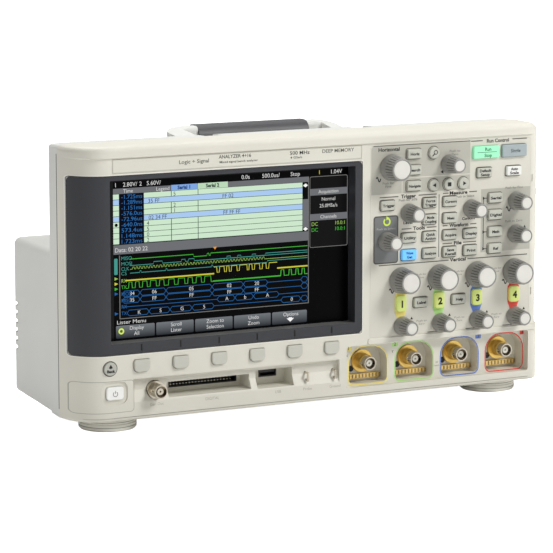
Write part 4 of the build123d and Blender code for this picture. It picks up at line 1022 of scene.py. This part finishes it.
def input_print():
    """Coloured outline of each input window, its number tag and the gold contact pads."""
    page = Drawing("input_print", "case", "case_front", FRONT_Y + 6.5 * MM)
    for k, x in enumerate(INPUT_X):
        outer = rounded(x - 16.75, x + 16.75, WINDOW_Z - 14.5, WINDOW_Z + 14.5, 5.0, 13.0)
        inner = rounded(x - 15.85, x + 15.85, WINDOW_Z - 13.6, WINDOW_Z + 13.6, 4.1, 12.1)
        page.band(outer, inner, LINKS[k], 0.05)
        tag = x - 16.2 if k < 2 else x + 16.0
        page.box(tag - 2.4, tag + 2.4, -77.8, -74.2, LINKS[k], 0.06, 0.6)
        page.text(str(k + 1), tag, -76.0, 2.4, INK, 0.09)
    page.text("X", 89.6, -81.5, 2.0, INK)
    page.text("Y", 127.6, -81.5, 2.0, INK)
    page.text("All", 165.0, -92.5, 1.3, INK_SOFT)
    page.text("inputs", 165.0, -94.8, 1.3, INK_SOFT)
    page.done()
    page = Drawing("input_pads", "case", "gold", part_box("input_flanges")[0].y)
    for x in INPUT_X:
        for n in range(10):
            pad_x = x - 12.6 + 2.8 * n
            page.box(pad_x - 0.85, pad_x + 0.85, -100.4, -97.6, GOLD_PAD, 0.04, 0.3)
            page.box(pad_x + 0.85, pad_x + 1.95, -100.4, -97.6, PAD_GAP, 0.03)
        page.face(circle(x - 8.5, -93.4, 2.3, 20), BLACK, -2.3)
    page.done()


# left end of the case front: start of its quarter ellipse, reach across and back
WRAP_X, WRAP_ACROSS, WRAP_BACK = -101.0, 25.2, 30.0


class WrappedDrawing(Drawing):
    """Drawing that follows the case front round its left end."""

    def vertex(self, x, z, lift):
        share = min(1.0, max(0.0, (WRAP_X - x) / WRAP_ACROSS))
        depth = FRONT_Y + WRAP_BACK * MM * (1.0 - math.sqrt(1.0 - share * share))
        return self.mesh.verts.new((DATUM_X + x * MM, depth - lift * MM, DATUM_Z + z * MM))


def dense(points, pitch=0.8):
    """The same closed outline with points close together."""
    out = []
    for k, (x, z) in enumerate(points):
        next_x, next_z = points[(k + 1) % len(points)]
        count = max(1, int(math.hypot(next_x - x, next_z - z) / pitch))
        out += [(x + (next_x - x) * n / count, z + (next_z - z) * n / count) for n in range(count)]
    return out + out[:1]


def case_grooves():
    """Groove outlines round the left keys, a line along the foot and a ring, all painted shade; the
    surround's pale lip, a painted highlight, and its dark joint.
    """
    page = WrappedDrawing("case_grooves", "case", "case_front", FRONT_Y)
    # painted shade of the groove round the left keys
    page.line(dense(rounded(-124.3, -82.6, -104.6, -82.4, 2.5)), 0.4, GROOVE_AND_EMBOSS_SHADE, 0.04)
    # a ring of painted shade
    page.ring(-100.5, -73.3, 5.45, 5.05, EDGE_SHADE, 0.04)
    # painted line standing in for the shading of the crease along the foot
    page.line(dense([(-118.0, -108.6), (240.0, -108.6)])[:-1], 0.3, GROOVE_AND_EMBOSS_SHADE, 0.04)
    page.line(dense(rounded(-124.4, 98.35, -64.2, 60.9, 1.4)), 0.4, JOINT_AND_SLOT_SHADE, 0.03)
    # painted highlight along the bezel's edge round the surround
    page.line(dense(rounded(-124.7, 98.9, -64.8, 61.5, 1.9)), 0.6, LIP_HIGHLIGHT, 0.04)
    page.done()


def tick_marks():
    """Dark stroke in the slot over each softkey: painted shade."""
    page = Drawing("tick_marks", "case", "surround", FRONT_Y)
    for k in range(6):
        x = -76.5 + 30.0 * k
        # painted shade at the bottom of the slot
        page.box(x - 0.55, x + 0.55, -62.4, -57.7, JOINT_AND_SLOT_SHADE, -0.4)
    page.done()


def socket_labels():
    """Small words under the lower sockets, in painted shade standing in for embossed letters, and the pins of
    the digital header.
    """
    page = Drawing("socket_labels", "case", "case_front", FRONT_Y)
    for words, x in SOCKET_WORDS:
        # painted shade standing in for embossed letters
        page.text(words, x, -101.2, 2.0, GROOVE_AND_EMBOSS_SHADE, 0.04)
    page.done()
    page = Drawing("digital_pins", "case", "nickel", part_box("logic_port")[0].y + 2.0 * MM)
    for k in range(20):
        for z in (-92.75, -90.75):
            page.face(circle(-47.2 + 2.4 + 2.48 * k, z, 0.4, 12), PIN)
    page.done()


def ring_band(mesh, centre, axis, stations, steps=64):
    """Turned band round an axis through (distance along it, radius) stations."""
    loops = []
    side = Vector((0, 0, 1)) if axis.y else Vector((1, 0, 0))
    up = axis.cross(side)
    turns = [2 * math.pi * k / steps for k in range(steps)]
    spokes = [side * math.cos(turn) + up * math.sin(turn) for turn in turns]
    for along, radius in stations:
        loops.append([mesh.verts.new(centre + axis * along * MM + spoke * radius * MM) for spoke in spokes])
    for a, b in zip(loops, loops[1:]):
        for k in range(steps):
            j = (k + 1) % steps
            mesh.faces.new((a[k], a[j], b[j], b[k])).smooth = True


def case_piece(name, mesh, paint):
    """Piece of one finish on the case."""
    bmesh.ops.recalc_face_normals(mesh, faces=mesh.faces)
    piece = piece_of(mesh, name, [paint])
    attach(piece, "case")


def socket_sleeves():
    """Gold collar round the rear half of each input barrel."""
    mesh = bmesh.new()
    collar = [
        (8.6, 4.86), (8.6, 5.1), (9.0, 5.45), (11.4, 5.45), (11.6, 5.2), (12.4, 5.2), (12.6, 5.6),
        (14.8, 5.9),
    ]
    for x in INPUT_X:
        centre = Vector((DATUM_X + x * MM, FRONT_Y, DATUM_Z + INPUT_Z * MM))
        ring_band(mesh, centre, Vector((0, 1, 0)), collar)
    case_piece("socket_sleeves", mesh, GOLD)


def foot_rings():
    """Dark ribs round the two front feet: painted shade of the grooves between the foot's layers."""
    mesh = bmesh.new()
    for x in (-153.0, 158.8):
        for low, high in ((2.7, 3.1), (6.4, 6.8), (7.6, 8.0)):
            rib = [(low, 20.52), (low, 20.6), (high, 20.6), (high, 20.52)]
            ring_band(mesh, Vector((x * MM, -28.0 * MM, 0.0)), Vector((0, 0, 1)), rib, 96)
    # painted shade of the grooves between the foot's layers
    case_piece("foot_rings", mesh, FOOT_GROOVE_SHADE)


def seam_shadow():
    """Dark strip in the joint between the bezel and the rear cover, down both sides: painted shade of the
    gap.
    """
    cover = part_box("rear_cover")
    mesh = bmesh.new()
    low_z, high_z = cover[0].z + 6 * MM, cover[1].z - 6 * MM
    for side in (-1.0, 1.0):
        rims = []
        for y in (-24.3, -23.0, -21.9):
            # the sides draw in towards the rear, from y = -25
            x = side * (187.46 - 0.036 * (y + 25.0)) * MM
            rims.append([mesh.verts.new((x, y * MM, low_z + (high_z - low_z) * n / 24)) for n in range(25)])
        for a, b in zip(rims, rims[1:]):
            for n in range(24):
                quad = [a[n], a[n + 1], b[n + 1], b[n]]
                mesh.faces.new(quad if side < 0 else quad[::-1])
    # painted shade in the joint
    case_piece("seam_shadow", mesh, SEAM_SHADE)


def tint_sockets():
    """Gold nuts and pale insulators on the input sockets."""
    mesh = NODES["bnc_sockets"].data
    mesh.materials.append(GOLD)
    mesh.materials.append(INSULATOR)
    for polygon in mesh.polygons:
        centre = polygon.center
        x, z = (centre.x - DATUM_X) / MM, (centre.z - DATUM_Z) / MM
        depth = (centre.y - FRONT_Y) / MM
        axis = min(INPUT_X, key=lambda spot: abs(spot - x))
        reach = math.hypot(x - axis, z - INPUT_Z)
        if x < 80.0:
            continue  # the generator socket stays as it is
        if depth > 14.0 and reach > 4.9:
            polygon.material_index = 1
        elif reach < 2.45 and depth < 8.0:
            polygon.material_index = 2


def rear_print():
    """Plain words on the floor of the rear socket tray and on the option-slot cover."""
    page = Drawing("rear_print", "case", "steel", 60.2 * MM, back=True)
    for words, x in (("TRIG OUT", -34.0), ("REF IN", -12.0), ("USB", 11.0), ("LAN", 37.0), ("VIDEO", 76.0)):
        page.text(words, x, -85.4, 2.4, INK, 0.05)
    page.done()
    page = Drawing("module_print", "case", "case_rear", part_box("module_cover")[1].y, back=True)
    page.text("MODULE", 9.0, -41.0, 2.8, INK_SOFT, 0.05)
    page.done()


# painted shade of the grooves in the feet
FOOT_GROOVE_SHADE = plastic("foot_groove_painted_shade", (150, 148, 136), roughness=0.7, grain=0.0)
PIN = metal("pin_metal", (214, 208, 190), roughness=0.3)
# painted shade of the joint between the bezel and the rear cover
SEAM_SHADE = plastic("seam_painted_shade", (70, 70, 66), roughness=0.7, grain=0.0)

place_camera()
light_studio()
lay_floor()
paint_nodes()
tint_keys("menu_keys", WAVE_KEY, BLUE_KEY)
tint_keys("setup_keys", AUTO_KEY, LIGHT_KEY)
screen_picture()
panel_print()
entry_print()
key_legends()
knobs()
front_print()
input_print()
case_grooves()
tick_marks()
socket_labels()
socket_sleeves()
foot_rings()
seam_shadow()
tint_sockets()
rear_print()
